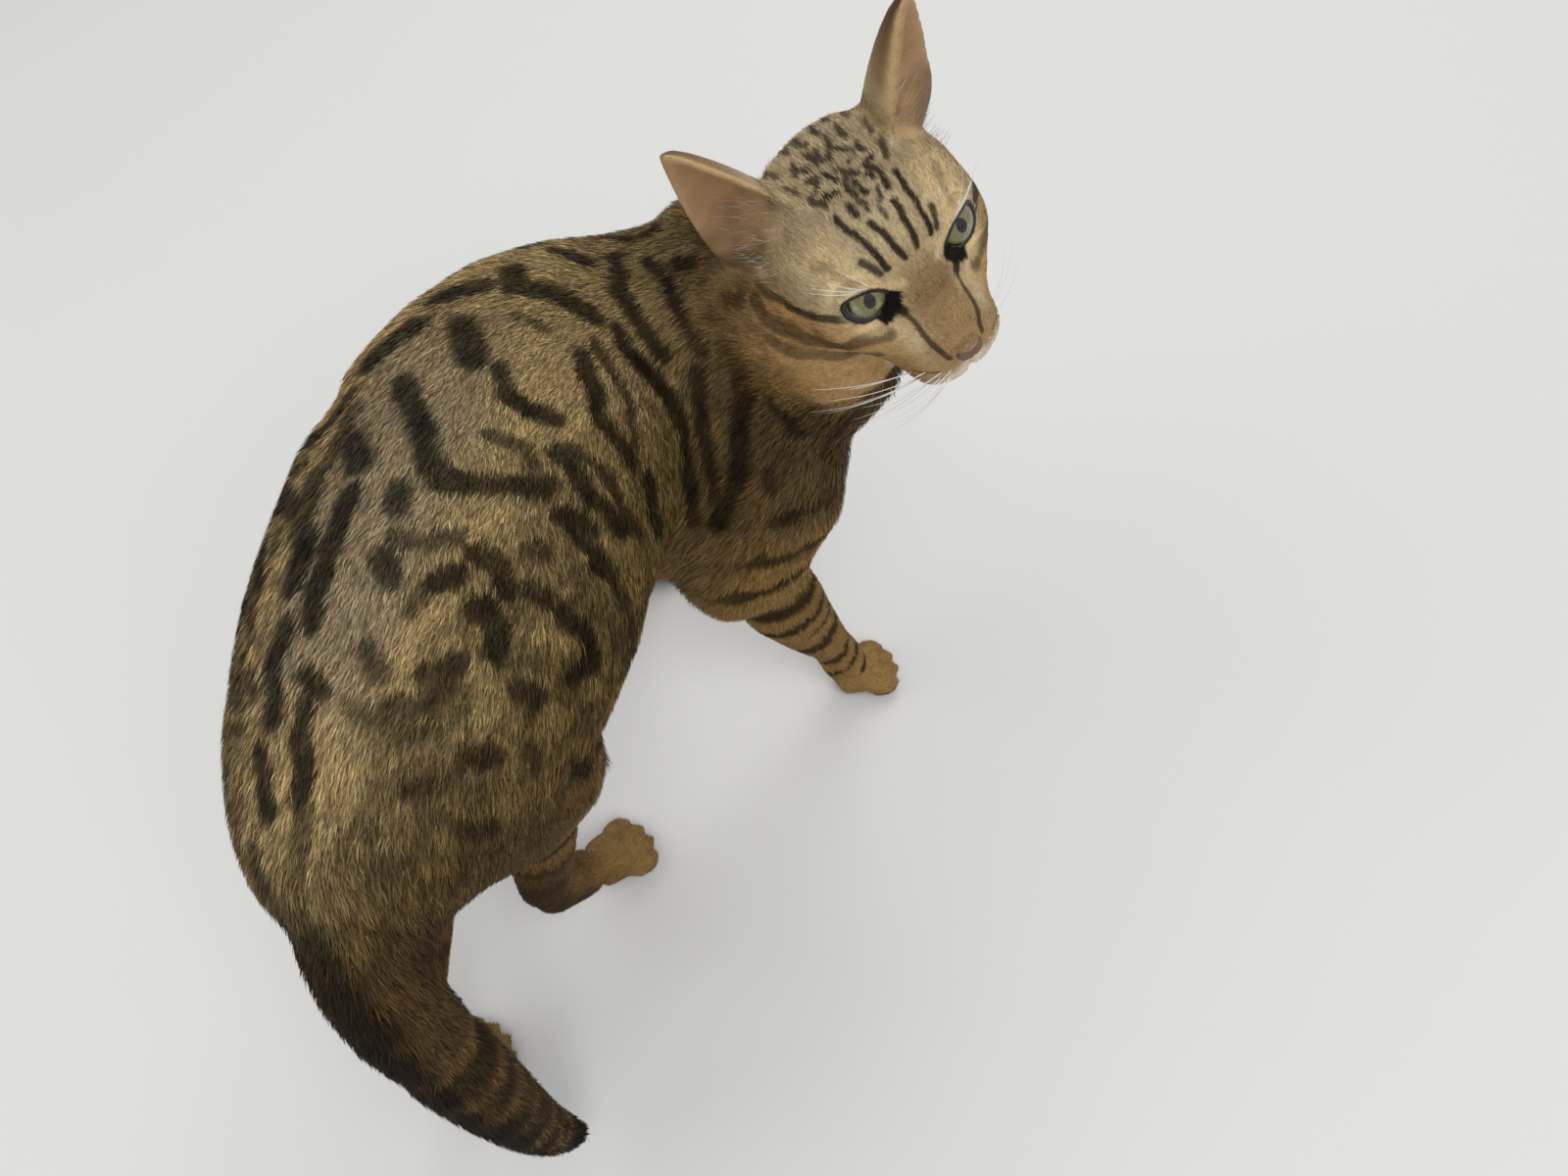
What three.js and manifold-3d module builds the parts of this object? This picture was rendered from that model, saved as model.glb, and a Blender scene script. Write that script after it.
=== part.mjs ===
// A spotted short-haired cat that stands on four feet, its back bent to its
// right and its head turned back over the right shoulder.
//
// Millimetres, +Z up. The chest points along -Y and the cat's right side
// along -X. All sizes run out to the tips of the coat. The body is modelled
// from tubes, then divided where its parts meet, with a gap of 0.3 mm.

import * as THREE from 'three';
import { ParametricGeometry } from 'three/addons/geometries/ParametricGeometry.js';
import { mergeVertices } from 'three/addons/utils/BufferGeometryUtils.js';
import Module from 'manifold-3d';

const wasm = await Module();
wasm.setup();

// ---------------------------------------------------------------- sizes

const GAP = 0.3;
const UP = new THREE.Vector3(0, 0, 1);

// A tube's stations are [x, y, z, half-width, half-depth]. The half-depth is
// measured towards the tube's facing direction, the half-width across it.
const TRUNK = [
  [-6, 147, 213, 24, 32],
  [-2, 133, 222, 42, 48],
  [5, 106, 233, 57, 59],
  [12, 62, 243, 69, 68],
  [22, 16, 246, 73, 74],
  [33, -27, 242, 73, 79],
  [36, -69, 232, 70, 81],
  [19, -105, 219, 62, 80],
  [-6, -133, 204, 49, 68],
  [-30, -150, 198, 28, 42],
];
const TRUNK_ROLL = 8; // degrees that the back leans out of the bend

const NECK = [
  [18, -106, 222, 52, 64],
  [-4, -121, 236, 49, 64],
  [-32, -130, 251, 46, 66],
  [-60, -130, 268, 42, 61],
  [-79, -125, 286, 37, 42],
  [-93, -120, 296, 28, 31],
];

const TAIL = [
  [-4, 122, 236, 26, 25],
  [-8, 145, 233, 26, 24],
  [-18, 162, 210, 22.5, 21],
  [-28, 168, 165, 19, 19],
  [-33, 169, 110, 17, 17],
  [-36, 168, 62, 13.5, 13.5],
  [-39, 164, 36, 10, 10],
  [-44, 158, 22, 5.5, 5.5],
];
const TAIL_FACING = new THREE.Vector3(0, 1, 0);

// The head has its own frame: its origin lies between the pupils, x points to
// the cat's right, y to the nose and z to the crown.
const HEAD_AT = new THREE.Vector3(-116, -113, 314);
const HEAD_FORWARD = new THREE.Vector3(-0.821, 0.45, -0.351);
const HEAD_UP = new THREE.Vector3(-0.139, 0.437, 0.888);
const HEAD = [
  [0, -74, -15, 20, 21],
  [0, -59, -15, 34, 29],
  [0, -45, -15, 39.5, 33],
  [0, -32, -15, 42, 36],
  [0, -18, -16, 41.5, 34],
  [0, -6, -19, 38, 29.5],
  [0, 4, -24, 30, 23.5],
  [0, 14, -27, 23, 19],
  [0, 24, -28, 19, 15],
  [0, 31, -27, 13.5, 11],
];
// Swells and hollows of the head, [x, y, z, radius, height], on both sides.
const HEAD_FORMS = [
  [20, 1, 1, 11, -2.5], // eye socket
  [17, -4, 13, 9, 1.5], // brow
  [33, -10, -12, 13, 2], // cheekbone
  [11, 25, -31, 9, 2], // whisker pad
  [0, 14, -8, 7, 1.5], // bridge of the nose
  [0, 23, -44, 8, 2], // chin
];

const EYE_AT = [20, -7.5, -2];
const EYE_RADIUS = 10.5;
const NOSE_AT = [0, 29.5, -19.5];
const NOSE_SCALE = [7, 4.5, 5];

// An ear is a cup that narrows to its tip: [x, y, z] of its root and tip in the
// head's frame, right then left, and the direction in which it opens.
const EAR = {
  halfWidth: 22,
  cup: 18,
  wall: 3,
  floor: 0.3, // share of the height at which the hollow has its full depth
  below: -0.26, // share of the height from the root down to the rounded lower end
  right: { root: [35, -46, -2], tip: [54, -59, 68], opens: [0.5, 0.85, 0] },
  left: { root: [-35, -43, 0], tip: [-36, -43, 77], opens: [-0.5, 0.86, 0] },
};

// Each leg is three tubes: from inside the body to the elbow or knee, from
// there to the wrist or hock, and from there into the paw.
const LEGS = {
  front_right: {
    facing: [-0.64, -0.77, 0],
    upper: [
      [7, -100, 265, 20, 34],
      [-38, -115, 235, 26, 44],
      [-53, -112, 192, 27, 41],
      [-35, -90, 150, 24, 48],
      [-43, -94, 112, 20, 27],
    ],
    lower: [[-43, -94, 112, 19, 26], [-51, -103, 78, 16, 20], [-61, -114, 43, 12.5, 13.5]],
    foot: [[-61, -114, 43, 12.5, 13], [-67, -118, 20, 13, 14]],
  },
  front_left: {
    facing: [-0.49, -0.87, 0],
    upper: [
      [34, -113, 265, 20, 34],
      [44, -138, 235, 25, 38],
      [40, -148, 192, 26, 38],
      [60, -128, 150, 24, 34],
      [67, -118, 116, 19, 26],
    ],
    lower: [[67, -118, 116, 18, 25], [77, -130, 80, 15, 19], [83, -143, 43, 12.5, 13.5]],
    foot: [[83, -143, 43, 12.5, 13], [82, -148, 20, 13, 14]],
  },
  hind_right: {
    facing: [-0.45, -0.89, 0],
    upper: [[-10, 112, 240, 30, 44], [-14, 86, 205, 32, 46], [-5, 64, 165, 27, 38], [5, 58, 130, 20, 26]],
    lower: [[5, 58, 130, 18, 23], [11, 66, 88, 15, 18], [16, 73, 52, 12, 14]],
    foot: [[16, 73, 52, 12, 14], [14, 46, 25, 14, 13]],
  },
  hind_left: {
    facing: [-0.34, -0.94, 0],
    upper: [[6, 126, 240, 30, 42], [22, 112, 205, 32, 42], [35, 102, 170, 27, 36], [40, 100, 135, 20, 26]],
    lower: [[40, 100, 135, 18, 22], [36, 130, 100, 15, 17], [35, 152, 68, 12, 14]],
    foot: [[35, 152, 68, 12, 13], [32, 154, 24, 13, 12]],
  },
};
const JOINT_REACH = 9; // how far each of the tubes runs past a joint

// A paw's place is its middle on the floor, with the way that its toes point.
const PAWS = {
  front_right: { at: [-77, -125], heading: [-0.75, -0.66] },
  front_left: { at: [80, -159], heading: [-0.45, -0.89] },
  hind_right: { at: [9, 26], heading: [-0.45, -0.89] },
  hind_left: { at: [29, 147], heading: [-0.34, -0.94] },
};
const PALM = [[0, -24, 15.5, 11.5, 12.5], [0, -8, 11.5, 15.2, 12.5], [0, 6, 9.5, 16, 10]];
const TOE = [[0, -4, 9.4, 5.1, 6.4], [0, 9, 6, 6.4, 7.4], [0, 20, 4.4, 5.1, 5.8]];
const TOES = 4;
const TOE_SPACING = 8.6;
const TOE_STEP_BACK = 3.5; // how far the outer toes stay behind the inner ones

// The cuts that divide the body: a point, the way each faces, and how far its
// square reaches across.
const CUTS = {
  head: { at: [-72, -128, 300], facing: [-15, 6, 11], size: 150 },
  neck: { at: [-22, -126, 263], facing: [-15, -6, 12], size: 170 },
  waist: { at: [22, 0, 240], facing: [0, -1, 0], size: 190 },
  tailMiddle: { at: [-28, 168, 165], facing: [0, 0, -1], size: 60 },
  tailTip: { at: [-37, 168, 70], facing: [0, 0, -1], size: 60 },
};
const ELBOW_CUT = 90;
const WRIST_CUT = 60;

// How finely each tube is meshed, and how much of its axis an end takes up.
const MESH = {
  trunk: { rings: 24, sides: 22 },
  neck: { rings: 9, sides: 18 },
  tail: { rings: 19, sides: 10 },
  head: { rings: 20, sides: 20, dome: 0.08 },
  limb: { rings: 7, sides: 10, dome: 0.1 },
  palm: { rings: 4, sides: 8, dome: 0.2 },
  toe: { rings: 4, sides: 6, dome: 0.25 },
};

const COAT = { colour: '#8f7f60', roughness: 0.85 };
const LEATHER = { colour: '#8a5f55', roughness: 0.55 };
const IRIS = { colour: '#9aa574', roughness: 0.1 };

// ---------------------------------------------------------------- solids

function vector(numbers) {
  return new THREE.Vector3(...numbers);
}

// A closed geometry as a solid: shared corners are merged, and the flat
// triangles that a pole leaves are dropped.
function solid(geometry) {
  geometry.deleteAttribute('normal');
  geometry.deleteAttribute('uv');
  const merged = mergeVertices(geometry, 1e-4);
  const index = merged.index.array;
  const triangles = [];
  for (let i = 0; i < index.length; i += 3) {
    const [a, b, c] = index.slice(i, i + 3);
    if (a !== b && b !== c && c !== a) triangles.push(a, b, c);
  }
  return new wasm.Manifold(new wasm.Mesh({
    numProp: 3,
    vertProperties: new Float32Array(merged.attributes.position.array),
    triVerts: new Uint32Array(triangles),
  }));
}

// A tube's ends are quarter ellipses. Each takes DOME_RINGS of the way along
// the mesh and dome of the way along the axis. t is the place on the axis,
// shrink the share of the full section, and out points past the end.
const DOME_RINGS = 0.16;
function stretch(v, dome) {
  const atEnd = v > 0.5;
  const q = atEnd ? 1 - v : v;
  const turn = Math.min(q / DOME_RINGS, 1) * Math.PI / 2;
  const even = dome + (q - DOME_RINGS) / (0.5 - DOME_RINGS) * (0.5 - dome);
  const t = q < DOME_RINGS ? dome * (1 - Math.cos(turn)) : even;
  return {
    t: atEnd ? 1 - t : t,
    shrink: Math.sin(turn),
    out: (atEnd ? 1 : -1) * Math.cos(turn),
  };
}

function tube(stations, options) {
  const { rings, sides, facing = UP, roll = 0, grow = 0, reach = 0, dome = 0.06, relief } = options;
  const axis = new THREE.CatmullRomCurve3(stations.map(([x, y, z]) => vector([x, y, z])));
  const sizes = new THREE.CatmullRomCurve3(
    stations.map(([, , , halfWidth, halfDepth]) => vector([halfWidth, halfDepth, 0])),
  );
  const surface = (u, v, target) => {
    const angle = 2 * Math.PI * (u % 1);
    const { t, shrink, out } = stretch(v, dome);
    const along = axis.getTangent(t);
    const across = facing.clone().cross(along).normalize();
    across.applyAxisAngle(along, THREE.MathUtils.degToRad(roll));
    const deep = along.clone().cross(across);
    const size = sizes.getPoint(t);
    const radial = across.multiplyScalar((size.x + grow) * shrink * Math.cos(angle));
    radial.addScaledVector(deep, (size.y + grow) * shrink * Math.sin(angle));
    target.copy(axis.getPoint(t)).add(radial).addScaledVector(along, (grow + reach) * out);
    if (relief) relief(target, radial);
  };
  return solid(new ParametricGeometry(surface, sides, rings));
}

function ellipsoid(at, [halfX, halfY, halfZ]) {
  const sphere = new THREE.SphereGeometry(1, 12, 8);
  sphere.scale(halfX, halfY, halfZ);
  sphere.translate(at.x, at.y, at.z);
  return solid(sphere);
}

// A box of the given size, its z side turned to face along the normal.
function box(at, normal, [sizeX, sizeY, sizeZ]) {
  const turn = new THREE.Quaternion().setFromUnitVectors(UP, normal.clone().normalize());
  const geometry = new THREE.BoxGeometry(sizeX, sizeY, sizeZ);
  geometry.applyQuaternion(turn);
  geometry.translate(at.x, at.y, at.z);
  return solid(geometry);
}

function largest(body) {
  return body.decompose().sort((a, b) => b.volume() - a.volume())[0];
}

function carve(body, ...cutters) {
  return largest(cutters.reduce((rest, cutter) => rest.subtract(cutter), body));
}

// The cut where one run of stations ends and the next begins. It halves the
// bend between them.
function bend(before, after, size) {
  const at = vector(after[0].slice(0, 3));
  const arriving = at.clone().sub(vector(before.at(-2).slice(0, 3))).normalize();
  const leaving = vector(after[1].slice(0, 3)).sub(at).normalize();
  return { at: at.toArray(), facing: arriving.add(leaving).toArray(), size };
}

// Parts a body with a thin square cut. The first piece returned lies behind
// the cut and the second ahead of it.
function part(body, { at, facing, size }) {
  const point = vector(at);
  const along = vector(facing).normalize();
  const pieces = body.subtract(box(point, along, [size, size, GAP])).decompose();
  const isAhead = (piece) => {
    const { min, max } = piece.boundingBox();
    return vector(min).add(vector(max)).multiplyScalar(0.5).sub(point).dot(along) > 0;
  };
  return [false, true].map((ahead) => pieces.filter((piece) => isAhead(piece) === ahead)
    .sort((a, b) => b.volume() - a.volume())[0]);
}

// ---------------------------------------------------------------- head

const headFrame = new THREE.Matrix4();
{
  const forward = HEAD_FORWARD.clone().normalize();
  const right = forward.clone().cross(HEAD_UP).normalize();
  headFrame.makeBasis(right, forward, right.clone().cross(forward)).setPosition(HEAD_AT);
}

function inHead(numbers) {
  return vector(numbers).applyMatrix4(headFrame);
}

function inHeadFrame(body) {
  return body.transform(headFrame.elements);
}

function headRelief(point, radial) {
  const outward = radial.clone().normalize();
  const start = point.clone();
  for (const [x, y, z, radius, height] of HEAD_FORMS) {
    for (const side of x === 0 ? [0] : [-x, x]) {
      const distance = start.distanceTo(vector([side, y, z])) / radius;
      point.addScaledVector(outward, height * Math.exp(-distance * distance));
    }
  }
}

function head(grow = 0) {
  return inHeadFrame(tube(HEAD, { ...MESH.head, grow, relief: headRelief }));
}

function eye(side, grow = 0) {
  const [x, y, z] = EYE_AT;
  const radius = EYE_RADIUS + grow;
  return inHeadFrame(ellipsoid(vector([side * x, y, z]), [radius, radius, radius]));
}

function nose(grow = 0) {
  return inHeadFrame(ellipsoid(vector(NOSE_AT), NOSE_SCALE.map((half) => half + grow)));
}

// The section of an ear is a crescent: its back runs from edge to edge on a
// parabola, and its front returns on a shallower one, a wall's width inside.
// The hollow between them fades out towards the root, which is full, and the
// ear goes on below it in a rounded end that runs into the head.
const EAR_RINGS = 10;
function ear({ root, tip, opens }) {
  const base = vector(root);
  const axis = vector(tip).sub(base);
  const front = vector(opens).normalize();
  const across = axis.clone().normalize().cross(front).normalize();
  const back = axis.clone().normalize().cross(across);
  const surface = (u, v, target) => {
    const rise = EAR.below + (1 - EAR.below) * v;
    const high = Math.max(rise, 0);
    const low = Math.min(rise, 0) / EAR.below;
    const taper = Math.sqrt(1 - high ** 4);
    const round = Math.sqrt(1 - low ** 2);
    const wide = EAR.halfWidth * (1 - high ** 1.45) ** 0.95 * round;
    const cup = (EAR.cup * (1 - high) ** 0.7 + EAR.wall * taper) * round;
    const hollow = Math.min(high / EAR.floor, 1);
    const outside = u % 1 < 0.5;
    const s = outside ? 1 - 4 * (u % 1) : 4 * (u % 1) - 3;
    const wall = outside ? 0 : EAR.wall * taper;
    const depth = Math.max(cup - wall, 0) * (outside ? 1 : hollow);
    target.copy(base).addScaledVector(axis, rise);
    target.addScaledVector(across, Math.max(wide - wall, 0) * s);
    target.addScaledVector(back, depth * (1 - s * s));
  };
  return inHeadFrame(solid(new ParametricGeometry(surface, 16, EAR_RINGS)));
}

// ---------------------------------------------------------------- legs

// A paw is a palm and a row of toes, in a frame with its middle at the origin
// and its toes along y. All of it stops flat on the floor.
function paw({ at, heading }) {
  let body = tube(PALM, MESH.palm);
  for (let toe = 0; toe < TOES; toe += 1) {
    const place = toe - (TOES - 1) / 2;
    const stepBack = Math.abs(place) > 1 ? TOE_STEP_BACK : 0;
    const stations = TOE.map(([, y, z, halfWidth, halfDepth]) => (
      [place * TOE_SPACING, y - stepBack, z, halfWidth, halfDepth]
    ));
    body = body.add(tube(stations, MESH.toe));
  }
  const turn = Math.atan2(heading[1], heading[0]) - Math.PI / 2;
  return body.transform(new THREE.Matrix4().makeRotationZ(turn).setPosition(at[0], at[1], 0).elements);
}

const FLOOR_DEPTH = 40;
const belowFloor = box(vector([0, 0, -FLOOR_DEPTH / 2]), UP, [900, 900, FLOOR_DEPTH]);

function leg(name, grow = 0) {
  const { upper, lower, foot, facing } = LEGS[name];
  const options = { ...MESH.limb, facing: vector(facing), reach: JOINT_REACH, grow };
  return [upper, lower, foot].map((stations) => tube(stations, options))
    .reduce((limb, piece) => limb.add(piece), paw(PAWS[name]))
    .subtract(belowFloor);
}

// ---------------------------------------------------------------- the cat

const trunk = (grow = 0) => tube(TRUNK, { ...MESH.trunk, roll: TRUNK_ROLL, grow });
const neck = (grow = 0) => tube(NECK, { ...MESH.neck, grow });
const tail = (grow = 0) => tube(TAIL, { ...MESH.tail, facing: TAIL_FACING, grow });
const parts = {};

let rest = trunk().add(neck()).add(head());
[rest, parts.head] = part(rest, CUTS.head);
[rest, parts.neck] = part(rest, CUTS.neck);
[parts.trunk_rear, parts.trunk_fore] = part(rest, CUTS.waist);
[parts.tail_base, rest] = part(carve(tail(), trunk(GAP)), CUTS.tailMiddle);
[parts.tail_middle, parts.tail_tip] = part(rest, CUTS.tailTip);

parts.head = carve(parts.head, eye(1, GAP), eye(-1, GAP), nose(GAP));
parts.eye_right = eye(1);
parts.eye_left = eye(-1);
parts.nose = nose();
const earClear = head(GAP).add(neck(GAP));
parts.ear_right = carve(ear(EAR.right), earClear);
parts.ear_left = carve(ear(EAR.left), earClear);

const torsoClear = trunk(GAP).add(neck(GAP)).add(tail(GAP));
const LEG_PARTS = {
  front: ['upper_arm', 'forearm', 'paw'],
  hind: ['thigh', 'shank', 'foot'],
};
for (const [name, { upper, lower, foot }] of Object.entries(LEGS)) {
  const [end, side] = name.split('_');
  const [first, second, third] = LEG_PARTS[end].map((word) => `${word}_${side}`);
  const otherLeg = side === 'left' ? [leg(`${end}_right`, GAP)] : [];
  rest = carve(leg(name), torsoClear, ...otherLeg);
  [parts[first], rest] = part(rest, bend(upper, lower, ELBOW_CUT));
  [parts[second], parts[third]] = part(rest, bend(lower, foot, WRIST_CUT));
}

const FINISHES = { eye_right: IRIS, eye_left: IRIS, nose: LEATHER };
const model = new THREE.Group();
const bounds = new THREE.Box3();
for (const [name, body] of Object.entries(parts)) {
  const { vertProperties, triVerts } = body.getMesh();
  const geometry = new THREE.BufferGeometry();
  geometry.setAttribute('position', new THREE.BufferAttribute(vertProperties, 3));
  geometry.setIndex(new THREE.BufferAttribute(triVerts, 1));
  geometry.computeVertexNormals();
  const { colour, roughness } = FINISHES[name] ?? COAT;
  const mesh = new THREE.Mesh(geometry, new THREE.MeshStandardMaterial({
    color: colour,
    roughness,
    metalness: 0,
  }));
  mesh.name = name;
  model.add(mesh);
  bounds.expandByObject(mesh);
}

// The origin is the middle of the cat's box, on the floor.
const middle = bounds.getCenter(new THREE.Vector3());
model.position.set(-middle.x, -middle.y, -bounds.min.z);

export default model;
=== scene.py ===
"""A spotted short-haired cat, life size, standing still with its head turned back.

One skin takes the place of every solid of flesh. It is the solids' own outer surface, made even, rounded
at the joints and drawn in by the depth of the coat. Short tapered tufts then grow from it along the lie of
the hair. Skin and tufts take their colours from one set of markings, worked out along the spine and limbs.
"""

import math

import bpy
import mathutils
import numpy as np
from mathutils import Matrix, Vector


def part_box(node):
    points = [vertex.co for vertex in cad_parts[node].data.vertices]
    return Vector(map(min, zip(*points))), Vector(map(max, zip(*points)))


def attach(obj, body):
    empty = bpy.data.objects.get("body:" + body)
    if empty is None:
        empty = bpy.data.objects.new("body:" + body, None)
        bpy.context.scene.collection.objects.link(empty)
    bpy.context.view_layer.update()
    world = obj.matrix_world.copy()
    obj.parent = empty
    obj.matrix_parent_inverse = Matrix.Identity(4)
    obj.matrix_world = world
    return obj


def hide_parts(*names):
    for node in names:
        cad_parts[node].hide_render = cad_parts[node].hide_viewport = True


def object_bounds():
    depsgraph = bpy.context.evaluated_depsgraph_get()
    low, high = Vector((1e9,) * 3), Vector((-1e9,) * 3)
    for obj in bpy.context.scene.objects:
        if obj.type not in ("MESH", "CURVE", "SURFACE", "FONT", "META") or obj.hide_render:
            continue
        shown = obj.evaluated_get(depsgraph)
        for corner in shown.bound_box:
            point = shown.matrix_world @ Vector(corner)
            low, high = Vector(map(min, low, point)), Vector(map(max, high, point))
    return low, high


bl_info = {
    "name": "Spotted short-haired cat",
    "version": (1, 0, 0),
    "blender": (4, 5, 0),
    "location": "3D View > Sidebar > Cat",
    "description": "Builds the skin, coat, eyes and whiskers of a standing cat around its solids",
    "category": "Add Mesh",
}

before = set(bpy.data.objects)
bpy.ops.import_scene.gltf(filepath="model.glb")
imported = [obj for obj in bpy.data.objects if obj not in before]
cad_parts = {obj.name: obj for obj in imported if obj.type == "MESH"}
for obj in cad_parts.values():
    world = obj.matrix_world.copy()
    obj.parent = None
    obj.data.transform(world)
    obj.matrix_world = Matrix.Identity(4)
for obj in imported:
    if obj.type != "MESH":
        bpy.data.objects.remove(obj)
CAD_BOUNDS = [list(corner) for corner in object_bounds()]
MM = 0.001
SAME_PLACE = 1e-6
CHUNK = 20000  # how many points are worked on at a time, to save memory
SEED = 7


# ------------------------------------------------------------------ numbers and meshes

def unit(vectors):
    """Vectors divided by their own lengths."""
    return vectors / np.maximum(np.linalg.norm(vectors, axis=-1, keepdims=True), 1e-12)


def lengths_of(vectors):
    """The length of each vector of a list."""
    return np.linalg.norm(vectors, axis=1)


def smoothstep(low, high, value):
    """0 below low, 1 above high, and 3t^2 - 2t^3 between."""
    t = np.clip((value - low) / (high - low), 0.0, 1.0)
    return t * t * (3.0 - 2.0 * t)


def bell(distance, radius):
    """exp(-(distance / radius)^2), a round swelling of height 1."""
    return np.exp(-(distance / radius) ** 2)


def shade(code):
    """A hex colour as three linear numbers."""
    values = np.array([int(code[i:i + 2], 16) for i in (1, 3, 5)]) / 255.0
    return np.where(values <= 0.04045, values / 12.92, ((values + 0.055) / 1.055) ** 2.4)


def arrays_of(mesh):
    """A mesh's points and triangles."""
    mesh.calc_loop_triangles()
    co = np.empty(len(mesh.vertices) * 3, np.float32)
    mesh.vertices.foreach_get("co", co)
    index = np.empty(len(mesh.loop_triangles) * 3, np.int32)
    mesh.loop_triangles.foreach_get("vertices", index)
    return co.reshape(-1, 3).astype(float), index.reshape(-1, 3)


def corners_of(name):
    """The corners of a CAD node, each once, and its triangles. Corners in the same place, to the nearest
    thousandth of a millimetre, are one."""
    points, triangles = arrays_of(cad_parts[name].data)
    places = np.round(points.astype(np.float32) / SAME_PLACE).astype(np.int64)
    _, first, back = np.unique(places, axis=0, return_index=True, return_inverse=True)
    triangles = back.reshape(-1)[triangles]
    a, b, c = triangles.T
    return points[first], triangles[(a != b) & (b != c) & (c != a)]


def box_middle(name):
    """The middle of a node's bounding box."""
    low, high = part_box(name)
    return (np.array(low) + np.array(high)) / 2.0


def joint(name, other, reach=1.2 * MM):
    """The middle of the face that two neighbouring nodes share."""
    mine, _ = corners_of(name)
    theirs, _ = corners_of(other)
    near = np.min(np.linalg.norm(mine[:, None] - theirs[None], axis=2), axis=1) < reach
    shared = mine[near]
    return (shared.min(axis=0) + shared.max(axis=0)) / 2.0


def mesh_object(name, points, faces, smooth=True):
    """A mesh object at the origin from an array of points and an array of faces with one number of sides."""
    faces = np.asarray(faces, np.int32)
    mesh = bpy.data.meshes.new(name)
    mesh.vertices.add(len(points))
    mesh.vertices.foreach_set("co", np.asarray(points, np.float32).ravel())
    mesh.loops.add(faces.size)
    mesh.loops.foreach_set("vertex_index", faces.ravel())
    mesh.polygons.add(len(faces))
    mesh.polygons.foreach_set("loop_start", np.arange(0, faces.size, faces.shape[1], dtype=np.int32))
    mesh.update(calc_edges=True)
    mesh.validate()
    mesh.polygons.foreach_set("use_smooth", np.full(len(mesh.polygons), smooth))
    obj = bpy.data.objects.new(name, mesh)
    bpy.context.scene.collection.objects.link(obj)
    return obj


def modified(points, triangles, kind, group=None, **values):
    """Points and triangles after one modifier of that kind. group weighs the points."""
    obj = mesh_object("work", points, triangles)
    modifier = obj.modifiers.new("work", kind)
    for key, value in values.items():
        setattr(modifier, key, value)
    if group is not None:
        vertex_group = obj.vertex_groups.new(name="work")
        vertex_group.add(np.flatnonzero(group).tolist(), 1.0, "REPLACE")
        modifier.vertex_group = "work"
    result = bpy.data.meshes.new_from_object(obj.evaluated_get(bpy.context.evaluated_depsgraph_get()))
    found = arrays_of(result)
    bpy.data.meshes.remove(result)
    bpy.data.meshes.remove(obj.data)
    return found


def even(points, triangles, voxel):
    """The outer surface of closed shells that may overlap, as one even net."""
    return modified(points, triangles, "REMESH", mode="VOXEL", voxel_size=voxel)


def edges_of(triangles):
    """Every edge of some triangles once, as two point numbers."""
    pairs = np.concatenate([triangles[:, [0, 1]], triangles[:, [1, 2]], triangles[:, [2, 0]]])
    return np.unique(np.sort(pairs, axis=1), axis=0)


def neighbour_mean(values, edges):
    """The mean of each point's neighbours."""
    a, b = edges.T
    ties = np.bincount(a, minlength=len(values)) + np.bincount(b, minlength=len(values))
    total = np.empty_like(values)
    for k in range(values.shape[1]):
        total[:, k] = np.bincount(a, values[b, k], len(values)) + np.bincount(b, values[a, k], len(values))
    return total / np.maximum(ties, 1)[:, None]


def relaxed(values, edges, rounds, weight=1.0, keep_size=True):
    """Moves values towards their neighbours' mean, round by round. To keep a shape's size, each second
    step goes back a little further than the first came."""
    steps = (0.6, -0.63) if keep_size else (0.6,)
    share = np.broadcast_to(np.asarray(weight, float), len(values))[:, None]
    for _ in range(rounds):
        for step in steps:
            values = values + share * step * (neighbour_mean(values, edges) - values)
    return values


def normals_of(points, triangles):
    """Point normals, each the sum of its triangles' area vectors."""
    a, b, c = (points[triangles[:, k]] for k in range(3))
    area = np.cross(b - a, c - a)
    total = np.zeros_like(points)
    for k in range(3):
        for axis in range(3):
            total[:, axis] += np.bincount(triangles[:, k], area[:, axis], len(points))
    return unit(total)


def joined(shells):
    """Several pairs of points and triangles as one pair."""
    points, triangles, start = [], [], 0
    for shell_points, shell_triangles in shells:
        points.append(shell_points)
        triangles.append(shell_triangles + start)
        start += len(shell_points)
    return np.concatenate(points), np.concatenate(triangles)


def swollen(shell, amount):
    """Points and triangles with the points moved outwards along their normals by an amount in metres."""
    points, triangles = shell
    return points + normals_of(points, triangles) * amount, triangles


LATTICE_KEYS = np.array([73856093, 19349663, 83492791])  # one large prime for each way of the lattice
SEED_KEY = 2654435761
SCRAMBLES = ((13, 1274126177), (15, 2246822519))  # how far a key is shifted, and what it is multiplied by
KEY_MASK = 0x7FFFFFFF
KEY_MIDDLE = 0x3FFFFFFF


def noise(points, scale, seed):
    """Smooth noise from -1 to 1: random values at the corners of a lattice with cells of that scale,
    mixed by smoothstep weights across each cell."""
    place = points / scale
    cell = np.floor(place).astype(np.int64)
    t = place - cell
    t = t * t * (3.0 - 2.0 * t)
    total = np.zeros(len(points))
    for corner in range(8):
        offset = np.array([corner & 1, corner >> 1 & 1, corner >> 2 & 1])
        key = (cell + offset) @ LATTICE_KEYS + seed * SEED_KEY
        for shift, factor in SCRAMBLES:
            key = (key ^ (key >> shift)) * factor & KEY_MASK
        weight = np.prod(np.where(offset, t, 1.0 - t), axis=1)
        total += weight * (key / KEY_MIDDLE - 1.0)
    return total


def squared_distances(points, others):
    """The squared distance from each point to each of some others, as p^2 + q^2 - 2pq."""
    return (points ** 2).sum(1)[:, None] + (others ** 2).sum(1)[None] - 2 * points @ others.T


# ------------------------------------------------------------------ the cat's own frame

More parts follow.
